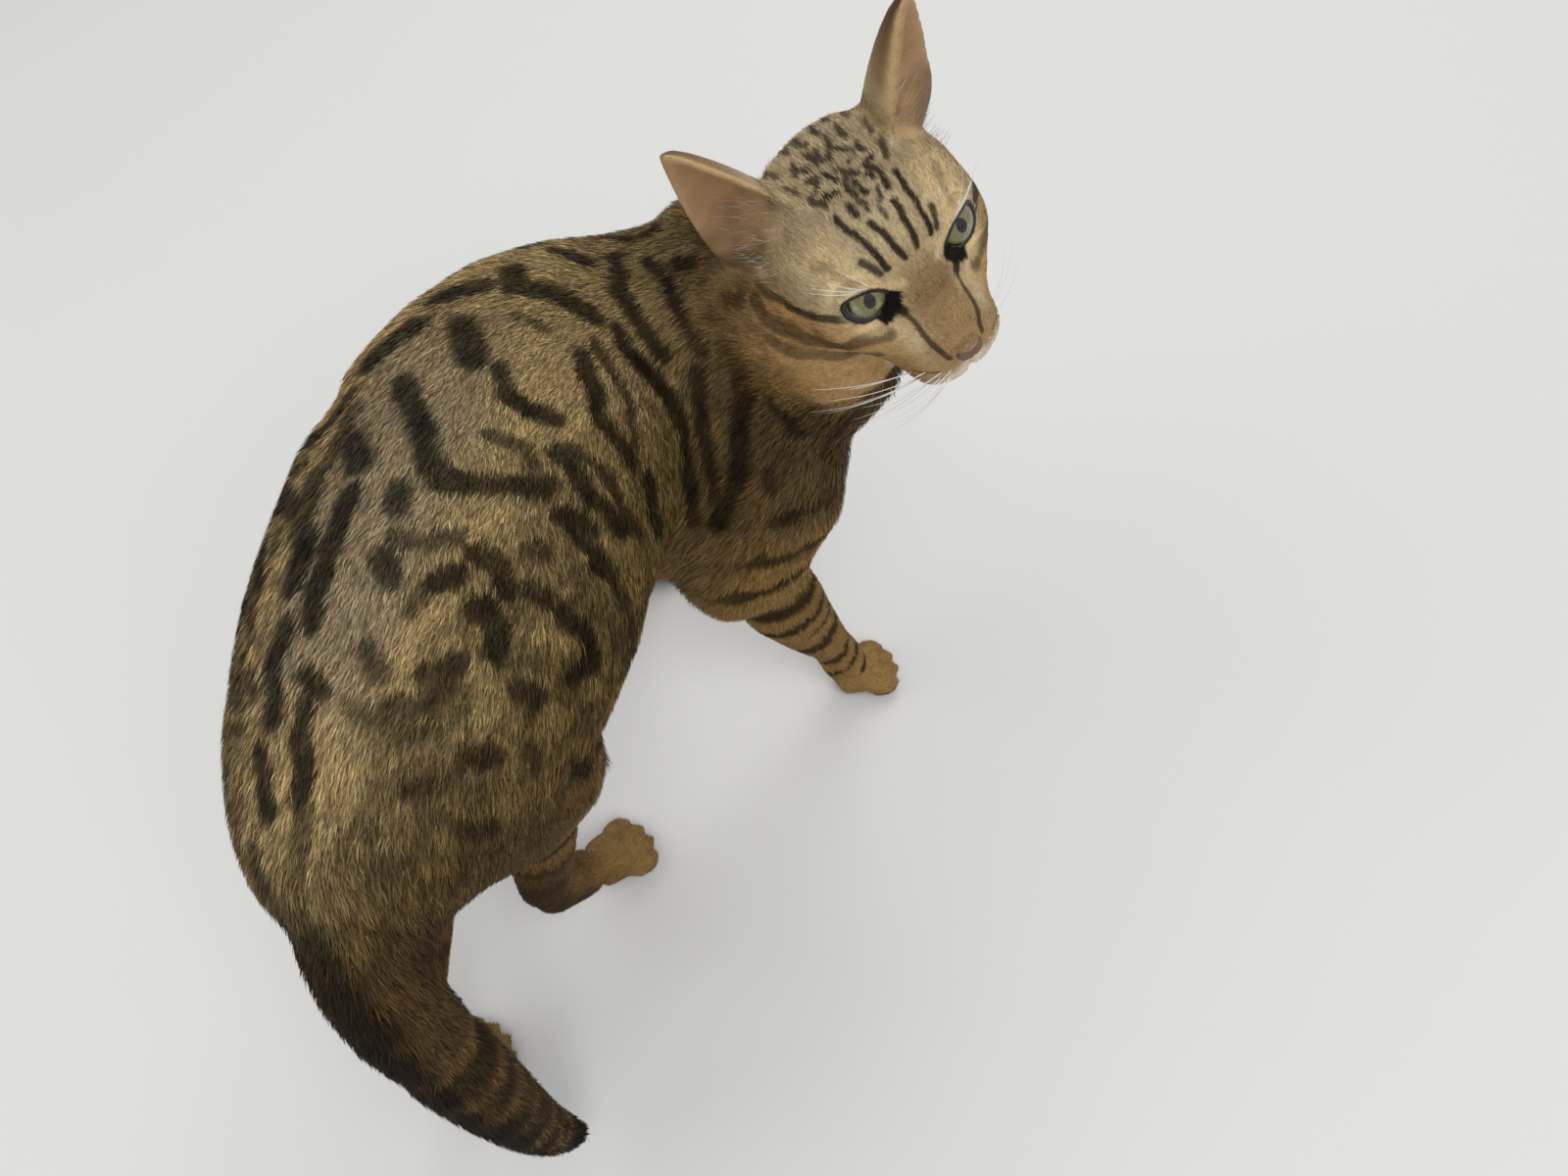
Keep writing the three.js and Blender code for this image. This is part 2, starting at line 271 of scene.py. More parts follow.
def slices(names, along, count):
    """Middles of the boxes of equal slices through some nodes, in order along an axis."""
    points = np.concatenate([corners_of(name)[0] for name in names])
    place = points @ along
    bands = np.linspace(place.min(), place.max(), count + 1)
    middles = []
    for low, high in zip(bands[:-1], bands[1:]):
        inside = points[(place >= low) & (place <= high)]
        middles.append((inside.min(axis=0) + inside.max(axis=0)) / 2.0)
    return np.array(middles)


def curve(stations, step=2.0 * MM):
    """A Catmull-Rom curve through stations, as points about a step apart."""
    stations = np.asarray(stations, float)
    padded = np.concatenate([[2 * stations[0] - stations[1]], stations, [2 * stations[-1] - stations[-2]]])
    pieces = []
    for i in range(len(stations) - 1):
        p0, p1, p2, p3 = padded[i:i + 4]
        count = max(int(np.linalg.norm(p2[:3] - p1[:3]) / step), 2)
        t = np.linspace(0, 1, count, endpoint=False)[:, None]
        pieces.append(0.5 * (2 * p1 + (p2 - p0) * t + (2 * p0 - 5 * p1 + 4 * p2 - p3) * t ** 2
                             + (3 * p1 - p0 - 3 * p2 + p3) * t ** 3))
    return np.concatenate(pieces + [stations[-1:]])


class Axis:
    """A centre line with a radius, and directions along it, up (or outwards) and to its side."""

    def __init__(self, stations, up):
        line = curve(stations)
        self.points = line[:, :3]
        self.radius = line[:, 3]
        self.along = unit(np.gradient(self.points, axis=0))
        self.side = unit(np.cross(self.along, np.asarray(up, float)))
        self.up = np.cross(self.side, self.along)
        steps = lengths_of(np.diff(self.points, axis=0))
        self.s = np.concatenate([[0.0], np.cumsum(steps)])

    def place(self, points, softness=14.0 * MM):
        """For each point: s along the line, the angle round it from up towards its side, and the direction
        along it there. All are means over the line, weighted by exp(-(distance^2 - least^2) / 2
        softness^2), so that they stay smooth inside a bend."""
        s = np.empty(len(points))
        angle = np.empty(len(points))
        along = np.empty_like(points)
        for start in range(0, len(points), CHUNK):
            part = slice(start, start + CHUNK)
            p = points[part]
            d2 = squared_distances(p, self.points)
            weight = np.exp(-(d2 - d2.min(axis=1, keepdims=True)) / (2 * softness ** 2))
            weight /= weight.sum(axis=1, keepdims=True)
            s[part] = weight @ self.s
            offset = p - weight @ self.points
            along[part] = unit(weight @ self.along)
            up = weight @ self.up
            side = weight @ self.side
            angle[part] = np.arctan2((offset * side).sum(1), (offset * up).sum(1))
        return s, angle, along


SKY = np.array([0.0, 0.0, 1.0])
EYE_RIGHT = box_middle("eye_right")
EYE_LEFT = box_middle("eye_left")
EYE_RADIUS = max(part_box("eye_right")[1][k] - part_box("eye_right")[0][k] for k in range(3)) / 2.0
NOSE = box_middle("nose")
BETWEEN_EYES = (EYE_RIGHT + EYE_LEFT) / 2.0
NOSE_DROP = math.radians(25.3)  # how far below the head's own level the nose lies, seen from the eyes

HEAD_RIGHT = unit(EYE_RIGHT - EYE_LEFT)
_to_nose = unit(NOSE - BETWEEN_EYES)
_over = np.cross(HEAD_RIGHT, _to_nose)
HEAD_FORWARD = unit(_to_nose * math.cos(NOSE_DROP) + _over * math.sin(NOSE_DROP))
HEAD_UP = np.cross(HEAD_RIGHT, HEAD_FORWARD)
HEAD_AXES = np.stack([HEAD_RIGHT, HEAD_FORWARD, HEAD_UP])


def in_head(points):
    """Points in the head's own frame in millimetres: right, forward and up from between the eyes."""
    return (points - BETWEEN_EYES) @ HEAD_AXES.T / MM


def from_head(points):
    """The other way round: places in the head's frame, in millimetres, as points of the model."""
    return np.asarray(points, float) * MM @ HEAD_AXES + BETWEEN_EYES


def with_radii(points, radii):
    """Stations of an axis: each place with its radius, given in millimetres."""
    return np.column_stack([np.asarray(points), np.asarray(radii, float) * MM])


NECK_ROOT = joint("neck", "trunk_fore")
NECK_TOP = joint("head", "neck")
_tail_top = slices(["tail_base"], SKY, 5)[-1]
_tail_joints = [joint("tail_base", "tail_middle"), joint("tail_middle", "tail_tip")]
_tail_end = slices(["tail_tip"], SKY, 4)
_trunk = slices(["trunk_rear", "trunk_fore"], np.array([0.0, -1.0, 0.0]), 12)

SPINE = Axis(with_radii(
    [_trunk[0], *_trunk[1:8], (NECK_ROOT + _trunk[8]) / 2.0, NECK_ROOT, NECK_TOP,
     NECK_TOP + 0.2 * (BETWEEN_EYES - NECK_TOP)],
    [40, 55, 62, 68, 72, 75, 76, 76, 72, 60, 46, 40]), SKY)
TAIL = Axis(with_radii([_tail_top, *_tail_joints, _tail_end[1], _tail_end[0]], [22, 20, 15, 13, 9]),
            [0.0, 1.0, 0.3])

# The foot of a leg's axis, in millimetres: how high the sole's own points reach, how high and how far back
# the ankle lies from the sole's middle, and how far ahead of it the toes end.
SOLE_HEIGHT = 8
ANKLE_HEIGHT = 12
ANKLE_BACK = 8
TOE_REACH = 20


def limb(words, side):
    """A leg's axis, from the body through its two joints to the toes. The toes point along the sole's
    longest line, which is its first principal direction."""
    upper, lower, foot = (f"{word}_{side}" for word in words)
    top = slices([upper], SKY, 4)[-1]
    first = joint(upper, lower)
    second = joint(lower, foot)
    corners, _ = corners_of(foot)
    sole = corners[corners[:, 2] < SOLE_HEIGHT * MM]
    middle = (sole.min(axis=0) + sole.max(axis=0)) / 2.0
    ahead = np.linalg.svd((sole - sole.mean(axis=0)) * [1, 1, 0])[2][0]
    ahead = ahead * -np.sign(ahead[1])
    ankle = middle + SKY * ANKLE_HEIGHT * MM - ahead * ANKLE_BACK * MM
    toes = middle + ahead * TOE_REACH * MM
    return Axis(with_radii([top, first, second, ankle, toes], [34, 24, 14, 14, 13]), [-1.0, 0.3, 0.4])


FORE = ("upper_arm", "forearm", "paw")
HIND = ("thigh", "shank", "foot")
LIMBS = {f"{end}_{side}": limb(words, side)
         for end, words in (("fore", FORE), ("hind", HIND)) for side in ("right", "left")}
FLESH = ["head", "neck", "trunk_fore", "trunk_rear", "tail_base", "tail_middle", "tail_tip", "ear_right",
         "ear_left"] + [f"{word}_{side}" for word in FORE + HIND for side in ("right", "left")]


def ear_axis(side):
    """An ear's axis from its root to its tip. Its up direction is the way that it opens."""
    corners, _ = corners_of(f"ear_{side}")
    local = in_head(corners)
    tip = local[np.argmax(local[:, 2])]
    root = local[local[:, 2] < np.percentile(local[:, 2], 12)].mean(axis=0)
    along = unit(tip - root)
    opens = np.array([0.45 if side == "right" else -0.45, 0.9, 0.0])
    opens = unit(opens - along * (opens @ along)) @ HEAD_AXES
    return Axis(with_radii([from_head(root), from_head((root + tip) / 2.0), from_head(tip)], [24, 20, 10]),
                opens)


EARS = {side: ear_axis(side) for side in ("right", "left")}
SKULL_LINE = [[0, -58, -10], [0, -30, -8], [0, -8, -10], [0, 12, -18], [0, 32, -22]]
SKULL = Axis(with_radii(from_head(SKULL_LINE), [34, 42, 40, 28, 19]), HEAD_UP)
AXES = [SPINE, TAIL, SKULL, *EARS.values(), *LIMBS.values()]


# ------------------------------------------------------------------ the skin

FEET = [name for name in FLESH if name.split("_")[0] in ("paw", "foot")]
CORE_WORDS = ("neck", "trunk", "upper", "forearm", "thigh", "shank")
CORE = [name for name in FLESH if name.split("_")[0] in CORE_WORDS or name == "tail_base"]
EAR_SWELL = 1.2 * MM
SMALL_SWELL = 0.4 * MM  # enough to close the CAD's thin gaps
TOE_DRAW = 3.5 * MM  # how much further the feet are drawn in
FILLET = 4.5 * MM
FLANK_FILLET = 3.0 * MM  # how much more of it the flanks have
FOLD_FILLET = 9.0 * MM  # and the folds of skin from the belly to the knees
FOLD_FROM_KNEE = np.array([-10.0, -30.0, 32.0]) * MM
FOLDS = [joint(f"thigh_{side}", f"shank_{side}") + FOLD_FROM_KNEE for side in ("right", "left")]
COARSE = 4.0 * MM
FINE = 1.15 * MM
EAR_REACH = 1.25  # how far from an ear's axis its skin lies at most, as a share of the axis's radius


def share_of(axis, points):
    """Distance from an axis as a share of its radius there."""
    d2 = squared_distances(points, axis.points)
    return np.sqrt(np.maximum(np.min(d2 / axis.radius[None] ** 2, axis=1), 0.0))


def by_ears(points):
    """Which points lie round the axis of an ear."""
    return np.minimum.reduce([share_of(axis, points) for axis in EARS.values()]) < EAR_REACH


def fine_ear(name):
    """An ear's surface, split finer and smoothed before it is swollen, so that its thin edge comes out
    round."""
    points, triangles = corners_of(name)
    for _ in range(2):
        points, triangles = refined(points, triangles, np.ones(len(triangles), bool))
    return swollen((relaxed(points, edges_of(triangles), 10), triangles), EAR_SWELL)


def even_flesh():
    """All flesh as one even net. The trunk, neck and limbs are first swollen, joined and drawn back in by
    the same amount, which rounds the folds between them. Near the floor they aren't swollen and are drawn
    in further, so that the toes keep their own shape."""
    def high(points):
        return smoothstep(9 * MM, 24 * MM, points[:, 2])[:, None]

    def fillet(points):
        near = [lengths_of(points - fold) for fold in FOLDS]
        extra = FLANK_FILLET * smoothstep(125 * MM, 150 * MM, points[:, 2])
        extra += FOLD_FILLET * bell(np.minimum(*near), 34 * MM)
        return FILLET * high(points) + extra[:, None]

    shells = [corners_of(name) for name in CORE + FEET]
    points, triangles = even(*joined([swollen(shell, fillet(shell[0])) for shell in shells]), COARSE)
    points = relaxed(points, edges_of(triangles), 40)
    points = points - normals_of(points, triangles) * (fillet(points) + TOE_DRAW * (1 - high(points)))
    others = [fine_ear(name) if name[:3] == "ear" else swollen(corners_of(name), SMALL_SWELL)
              for name in FLESH if name not in CORE]
    others += [corners_of(name) for name in ("eye_right", "eye_left", "nose")]
    points, triangles = even(*joined([(points, triangles), *others]), FINE)
    edges = edges_of(triangles)
    local = in_head(points)
    muzzle = (local[:, 1] > 5) & (np.abs(local[:, 0]) < 30) & (local[:, 2] > -48) & (local[:, 2] < 20)
    soft = np.where(by_ears(points), 0.35, 0.30 + 0.60 * smoothstep(10 * MM, 22 * MM, points[:, 2]))
    soft = np.where(muzzle, 0.12, soft)
    soft = relaxed(soft[:, None], edges, 8, keep_size=False)[:, 0]
    points = relaxed(points, edges, 12)
    points = relaxed(points, edges, 40, soft, keep_size=False)
    return points, triangles


def largest_shell(points, triangles):
    """Only the connected surface with the most points. Each point takes the least label around it until
    nothing changes."""
    label = np.arange(len(points))
    while True:
        least = label[triangles].min(axis=1)
        new = label.copy()
        for k in range(3):
            np.minimum.at(new, triangles[:, k], least)
        new = new[new]
        if np.array_equal(new, label):
            break
        label = new
    keep = label == np.bincount(label).argmax()
    renumber = np.cumsum(keep) - 1
    return points[keep], renumber[triangles[keep[triangles[:, 0]]]]


def refined(points, triangles, chosen):
    """Splits each chosen triangle in four, and its neighbours along the edges that they share with it."""
    pairs = np.sort(triangles[:, [[0, 1], [1, 2], [2, 0]]], axis=2).reshape(-1, 2)
    edges, of_triangle = np.unique(pairs, axis=0, return_inverse=True)
    of_triangle = of_triangle.reshape(-1, 3)
    split = np.zeros(len(edges), bool)
    split[of_triangle[chosen].ravel()] = True
    middle = np.full(len(edges), -1)
    middle[split] = len(points) + np.arange(split.sum())
    points = np.concatenate([points, points[edges[split]].mean(axis=1)])
    cut = middle[of_triangle]
    count = (cut >= 0).sum(axis=1)
    result = [triangles[count == 0]]
    whole, at = triangles[count == 3], cut[count == 3]
    result += [np.stack([whole[:, k], at[:, k], at[:, (k + 2) % 3]], axis=1) for k in range(3)] + [at]
    for k in range(3):
        one = (count == 1) & (cut[:, k] >= 0)
        a, b, c = triangles[one][:, [k, (k + 1) % 3, (k + 2) % 3]].T
        m = cut[one][:, k]
        result += [np.stack([a, m, c], axis=1), np.stack([m, b, c], axis=1)]
        two = (count == 2) & (cut[:, k] < 0)
        a, b, c = triangles[two][:, [k, (k + 1) % 3, (k + 2) % 3]].T
        m, n = cut[two][:, (k + 1) % 3], cut[two][:, (k + 2) % 3]
        result += [np.stack([a, b, m], axis=1), np.stack([a, m, n], axis=1), np.stack([n, m, c], axis=1)]
    return points, np.concatenate(result)


EYE_X = (in_head(EYE_RIGHT[None])[0, 0] - in_head(EYE_LEFT[None])[0, 0]) / 2.0
BALL = EYE_RADIUS / MM
NOSE_AT = in_head(NOSE[None])[0]

# The opening between the lids, as angles in degrees seen from the middle of the eyeball.
LID_YAW = 15.0
LID_PITCH = 17.0
LID_TILT = 20.0
LID_LENGTH = 56.0
LID_UPPER = 41.0
LID_LOWER = 37.0
LID_SHAPE = 1.75


def direction(yaw, pitch, side):
    """A unit vector in the head's frame: yaw outwards from straight ahead, pitch upwards, in degrees."""
    yaw, pitch = math.radians(yaw), math.radians(pitch)
    level = math.cos(pitch)
    return np.array([side * math.sin(yaw) * level, math.cos(yaw) * level, math.sin(pitch)])


def lid_axes(side):
    """The middle of the lids' opening, and the ways to its outer corner and its upper edge."""
    middle = direction(LID_YAW, LID_PITCH, side)
    outward = unit(np.cross(middle, [0, 0, 1.0])) * (1.0 if side > 0 else -1.0)
    upward = np.array([0, 0, 1.0]) - middle * middle[2]
    upward = unit(upward)
    cosine, sine = math.cos(math.radians(LID_TILT)), math.sin(math.radians(LID_TILT))
    return middle, outward * cosine + upward * sine, upward * cosine - outward * sine


def lid_rim(theta):
    """The opening's radius in degrees in each direction round its middle: a superellipse with pointed
    corners, (|cos|/length)^n + (|sin|/height)^n = 1 / radius^n."""
    height = np.where(np.sin(theta) > 0, LID_UPPER, LID_LOWER)
    n = LID_SHAPE
    return ((np.abs(np.cos(theta)) / LID_LENGTH) ** n + (np.abs(np.sin(theta)) / height) ** n) ** (-1 / n)


def around_lids(offsets, side):
    """For places measured from the eyeball's middle: their distance, and degrees beyond the rim."""
    middle, outward, upward = lid_axes(side)
    distance = lengths_of(offsets)
    ways = offsets / np.maximum(distance, 1e-9)[:, None]
    angle = np.degrees(np.arccos(np.clip(ways @ middle, -1, 1)))
    theta = np.arctan2(ways @ upward, ways @ outward)
    return distance, angle - lid_rim(theta)


SOCKET = 2.6  # how far the skin lies under the eyeball's surface inside the lids
LID_THICK = 0.8
LEATHER_SHIFT = np.array([0, 0, -0.9])  # how far the nose leather's middle lies from the CAD's nose

# Swellings and hollows of the face: the middle of the one on the right, its radius and its height, all in
# millimetres.
FACE_SWELLS = [
    ((8.5, 33.0, -27.0), 7.5, 2.3),  # the whisker pad
    ((5.0, 36.0, -30.0), 5.0, 0.8),  # its front, over the lips
    ((0.0, 33.0, -42.0), 7.0, 1.6),  # the chin
    ((22.0, 10.0, 13.0), 7.0, 1.3),  # the brow
    ((12.0, 14.0, 10.0), 6.0, 0.8),  # the brow's inner end
    ((0.0, 29.0, -8.0), 7.0, 0.8),  # the bridge of the nose
    ((0.0, 36.0, -12.0), 5.0, 1.3),  # the end of the bridge
    ((27.0, 6.0, -15.0), 10.0, 1.2),  # the cheek below the eye
    ((11.5, 20.0, -9.0), 6.0, -2.2),  # the hollow beside the nose
    ((14.5, 22.0, -17.0), 6.5, -1.0),  # the hollow behind the whisker pad
    ((4.5, 24.0, -9.0), 5.0, 0.9),  # the side of the bridge
]


def on_right(local):
    """Places of the head with those on its left carried over to its right."""
    return np.column_stack([np.abs(local[:, 0]), local[:, 1:]])


def open_eyes(local):
    """Draws the skin round each eyeball: under its surface inside the lids, a lid's thickness over it past
    their rim, and back to its own place 45 degrees further on."""
    for side in (-1, 1):
        centre = np.array([side * EYE_X, 0.0, 0.0])
        distance, gap = around_lids(local - centre, side)
        close = BALL - SOCKET + (SOCKET + LID_THICK) * smoothstep(1.0, 5.5, gap)
        covered = np.maximum(BALL + 0.5 - distance, 0) * (1 - smoothstep(60, 85, gap))
        away = distance + covered
        target = close + (away - close) * smoothstep(9.0, 42.0, gap)
        share = 1 - smoothstep(20.0, 26.0, distance)
        radius = distance + (target - distance) * share
        local = centre + (local - centre) * (radius / np.maximum(distance, 1e-9))[:, None]
    return local


def mouth_height(across):
    """The height of the line between the lips: down from under the nose, then up along the cheek."""
    bow = 2.6 * np.sin(np.clip(across / 11.0, 0, 1) * math.pi / 2)
    return -33.5 - bow + 0.42 * np.maximum(across - 11.0, 0)


def face_relief(local, normals):
    """Moves the head's skin in or out, by bells at the swellings and hollows of the face and along the
    groove under the nose and the line of the mouth."""
    x, y, z = local.T
    across = np.abs(x)
    front = smoothstep(10.0, 22.0, y)
    rise = 0.0
    for middle, radius, height in FACE_SWELLS:
        rise = rise + height * bell(lengths_of(on_right(local) - middle), radius)
    groove = smoothstep(-34.5, -32.0, z) * (1 - smoothstep(-23.0, -20.5, z)) * front
    rise -= 1.7 * np.exp(-(x / 1.2) ** 2) * groove
    below = mouth_height(across) - z
    lips = front * (1 - smoothstep(21.0, 25.0, across))
    rise -= 1.8 * np.exp(-(below / 0.9) ** 2) * lips
    rise -= 1.6 * smoothstep(0.0, 3.0, below) * (1 - smoothstep(8.0, 16.0, below)) * lips
    rise += 0.7 * np.exp(-((below + 2.2) / 1.8) ** 2) * lips
    return local + normals * rise[:, None]


def seat_nose(local):
    """Sinks the skin behind the nose leather, so that only its rim meets the fur."""
    offset = (local - NOSE_AT - LEATHER_SHIFT) / [5.9, 5.0, 4.4]
    distance = lengths_of(offset)
    target = 0.72 + 0.55 * smoothstep(0.95, 1.25, distance)
    factor = np.where(distance < 1.25, np.minimum(target, distance) / np.maximum(distance, 1e-9), 1.0)
    return NOSE_AT + (local - NOSE_AT) * factor[:, None]


# ------------------------------------------------------------------ what the coat is at each place

COLUMNS = {"place": slice(0, 3), "lie": slice(3, 6), "weight": slice(6, 15), "spine": slice(15, 18),
           "tail": slice(18, 21), "limb": slice(21, 24), "ear": slice(24, 27), "normal": slice(27, 30)}

# Which axes own each part of the body, by their places in AXES.
OWNERS = {"trunk": slice(0, 1), "tail": slice(1, 2), "head": slice(2, 3), "ears": slice(3, 5),
          "legs": slice(5, 9), "ear_right": slice(3, 4), "ear_left": slice(4, 5), "fore_legs": slice(5, 7),
          "hind_legs": slice(7, 9), "trunk_and_tail": slice(0, 2), "head_and_ears": slice(2, 5)}
SHARE_SPREAD = 0.12  # how softly the parts of the body run into each other


class Sites:
    """Places on the skin, one row each: the place, the lie of the hair, how much each axis owns it, and
    (s, cosine, sine) along and round the spine, tail, limb and ear."""

    def __init__(self, rows):
        self.rows = rows

    def __getattr__(self, name):
        return self.rows[:, COLUMNS[name]]

    def owned(self, part):
        """How much a part of the body owns each site, from 0 to 1."""
        return self.weight[:, OWNERS[part]].sum(axis=1)

    def parts(self):
        """How much the trunk, tail, head, ears and legs own each site."""
        return [self.owned(part) for part in ("trunk", "tail", "head", "ears", "legs")]

    def ahead(self, distance):
        """The same sites moved along the lie of the hair, each by its own distance."""
        rows = self.rows.copy()
        rows[:, COLUMNS["place"]] += self.lie * distance[:, None]
        for name, sign in (("spine", -1.0), ("tail", 1.0), ("limb", 1.0), ("ear", 1.0)):
            rows[:, COLUMNS[name].start] += sign * distance
        return Sites(rows)


def along_axis(axis, points):
    """For each point (s, cosine, sine) along and round an axis, and the direction along it there."""
    s, angle, along = axis.place(points)
    return np.column_stack([s, np.cos(angle), np.sin(angle)]), along


def laid(ways, normals):
    """Directions laid flat in a surface, by taking away the share of each along the surface's normal."""
    return unit(ways - normals * (ways * normals).sum(axis=1, keepdims=True))


def surveyed(points, triangles):
    """The sites of a skin. An axis owns a point as exp(-share / SHARE_SPREAD), where share is the distance
    to it over its radius. The lie is back from the nose, back and down along the trunk, and along limbs,
    tail and ears, mixed by those weights, evened out and laid in the surface."""
    local = in_head(points)
    normals = normals_of(points, triangles)
    places, ways = zip(*[along_axis(axis, points) for axis in AXES])
    shares = np.stack([share_of(axis, points) for axis in AXES], axis=1)
    behind = smoothstep(-62.0, -42.0, local[:, 1]) * smoothstep(-60.0, -46.0, local[:, 2])
    shares[:, AXES.index(SKULL)] += 0.6 * smoothstep(-55.0, -70.0, local[:, 1])
    shares[:, AXES.index(SPINE)] += 0.9 * behind
    for k, axis in enumerate(AXES):
        if axis in EARS.values():
            shares[:, k] += 1.5 * smoothstep(4 * MM, -6 * MM, (points - axis.points[0]) @ axis.along[0])
        if axis in LIMBS.values():
            shares[:, k] += 1.2 * smoothstep(0.30, 0.08, places[k][:, 0] / axis.s[-1])
    weight = np.exp(-(shares - shares.min(axis=1, keepdims=True)) / SHARE_SPREAD)
    weight /= weight.sum(axis=1, keepdims=True)
    flank = 0.45 * np.abs(places[0][:, 2]) + 0.8 * smoothstep(34 * MM, 8 * MM, places[0][:, 0])
    back = unit(-ways[0] - SKY * flank[:, None])
    face = unit(local - [0.0, 35.0, -20.0]) + [0.0, -0.45, 0.0]
    lies = [back, ways[1], unit(face) @ HEAD_AXES, *ways[3:]]
    lie = sum(weight[:, k, None] * way for k, way in enumerate(lies))
    lie = laid(relaxed(unit(lie), edges_of(triangles), 25, keep_size=False), normals)

    def mixed(part):
        share = weight[:, OWNERS[part]]
        share = share / np.maximum(share.sum(axis=1, keepdims=True), 1e-9)
        return sum(share[:, k, None] * place for k, place in enumerate(places[OWNERS[part]]))

    return Sites(np.column_stack([points, lie, weight, *places[:2], mixed("legs"), mixed("ears"), normals]))


def coat_depth(sites):
    """How deep the coat lies, in metres: deepest on the belly and tail, thinnest on the nose, ears and
    paws."""
    under = smoothstep(0.1, 0.9, -sites.spine[:, 1])
    limb = sites.limb[:, 0] / LIMBS["fore_right"].s[-1]
    depth = sites.owned("trunk") * (3.0 + 1.3 * under)
    depth += sites.owned("tail") * (3.6 - 1.2 * smoothstep(175 * MM, 212 * MM, sites.tail[:, 0]))
    depth += sites.owned("head") * (0.8 + 1.4 * smoothstep(12.0, -45.0, in_head(sites.place)[:, 1]))
    depth += sites.owned("ears") * 0.35
    down = 1.6 * smoothstep(0.2, 0.65, limb)
    depth += sites.owned("legs") * (3.0 - down - 0.6 * smoothstep(0.75, 0.9, limb))
    return depth * MM


def inner_box(margin):
    """The two corners of the box that holds all the solids, drawn in by a margin in millimetres."""
    low, high = CAD_BOUNDS
    return np.array(low) + margin * MM, np.array(high) - margin * MM


def skin_shape():
    """The skin's sites and triangles: the even flesh with fewer points on the body and more on the face,
    drawn in by the coat's depth, with the eyes opened and the face's folds."""
    points, triangles = largest_shell(*even_flesh())
    front = (share_of(SKULL, points) < 1.4) & (in_head(points)[:, 1] > -20)
    fine = by_ears(points) | front | (points[:, 2] < 26 * MM)
    points, triangles = modified(points, triangles, "DECIMATE", group=~fine, ratio=0.2)
    sites = surveyed(points, triangles)
    rows = sites.rows
    rows[:, :3] -= sites.normal * coat_depth(sites)[:, None]
    rows[:, :3] = relaxed(rows[:, :3], edges_of(triangles), 6, np.where(sites.owned("ears") > 0.3, 0.6, 1.0))

    def split(chosen):
        return refined(rows, triangles, chosen(in_head(rows[triangles].mean(axis=1)[:, :3])))

    def face(middle):
        across, ahead, up = on_right(middle).T
        eye = lengths_of(on_right(middle) - [EYE_X, 0, 0]) < 23.0
        return (eye & (ahead > -4)) | ((ahead > 15) & (up > -50) & (across < 26))

    def rims(middle):
        gaps = [np.abs(around_lids(middle - [side * EYE_X, 0, 0], side)[1] - 4.0) for side in (-1, 1)]
        near = lengths_of(on_right(middle) - [EYE_X, 0, 0]) < 16.0
        return (np.minimum(*gaps) < 14.0) & near

    rows, triangles = split(face)
    rows, triangles = split(rims)
    local = open_eyes(in_head(rows[:, :3]))
    normals = normals_of(local @ HEAD_AXES, triangles) @ HEAD_AXES.T
    near = share_of(SKULL, rows[:, :3]) < 1.6
    shaped = seat_nose(face_relief(local, normals))
    rows[near, :3] = from_head(shaped[near])
    rows[:, :3] = np.clip(rows[:, :3], *inner_box(0.3))
    rows[:, COLUMNS["normal"]] = normals_of(rows[:, :3], triangles)
    rows[:, COLUMNS["lie"]] = laid(rows[:, COLUMNS["lie"]], rows[:, COLUMNS["normal"]])
    return Sites(rows), triangles


# ------------------------------------------------------------------ markings

PALE_BACK = shade("#bfa573")
PALE_FLANK = shade("#a38a55")
LOW_FLANK = shade("#8a6a38")
DARK_BACK = shade("#130e07")
DARK_FLANK = shade("#1c1206")
SMOKE = shade("#8f8675")
BELLY = shade("#b59869")
NECK_PALE = shade("#8f7a50")
CROWN = shade("#bba884")
CHEEK = shade("#b18a55")
FACE_PALE = shade("#dfc797")
MUZZLE = shade("#ddd0ba")
BRIDGE = shade("#8f6f45")
CHEEK_DARK = shade("#4d3319")
HEAD_DARK = shade("#1f160d")
EYE_LINE = shade("#0d0a08")
EAR_INSIDE = shade("#ad8c68")
EAR_RIM = shade("#d6b988")
EAR_BACK = shade("#6b4c2b")
LEG_PALE = shade("#8e7042")
PAW_PALE = shade("#967848")
TAIL_PALE = shade("#80653a")
TAIL_DARK = shade("#120d08")
# A dusky brown: the coat's own on the rump and hind shanks, and painted shade on the lower flanks, belly,
# shoulders and neck, in the hollow between the brows and low behind the cheeks.
DUSK_AND_SHADE = shade("#3f2d16")
DARKEST = 0.002  # no colour is darker than this

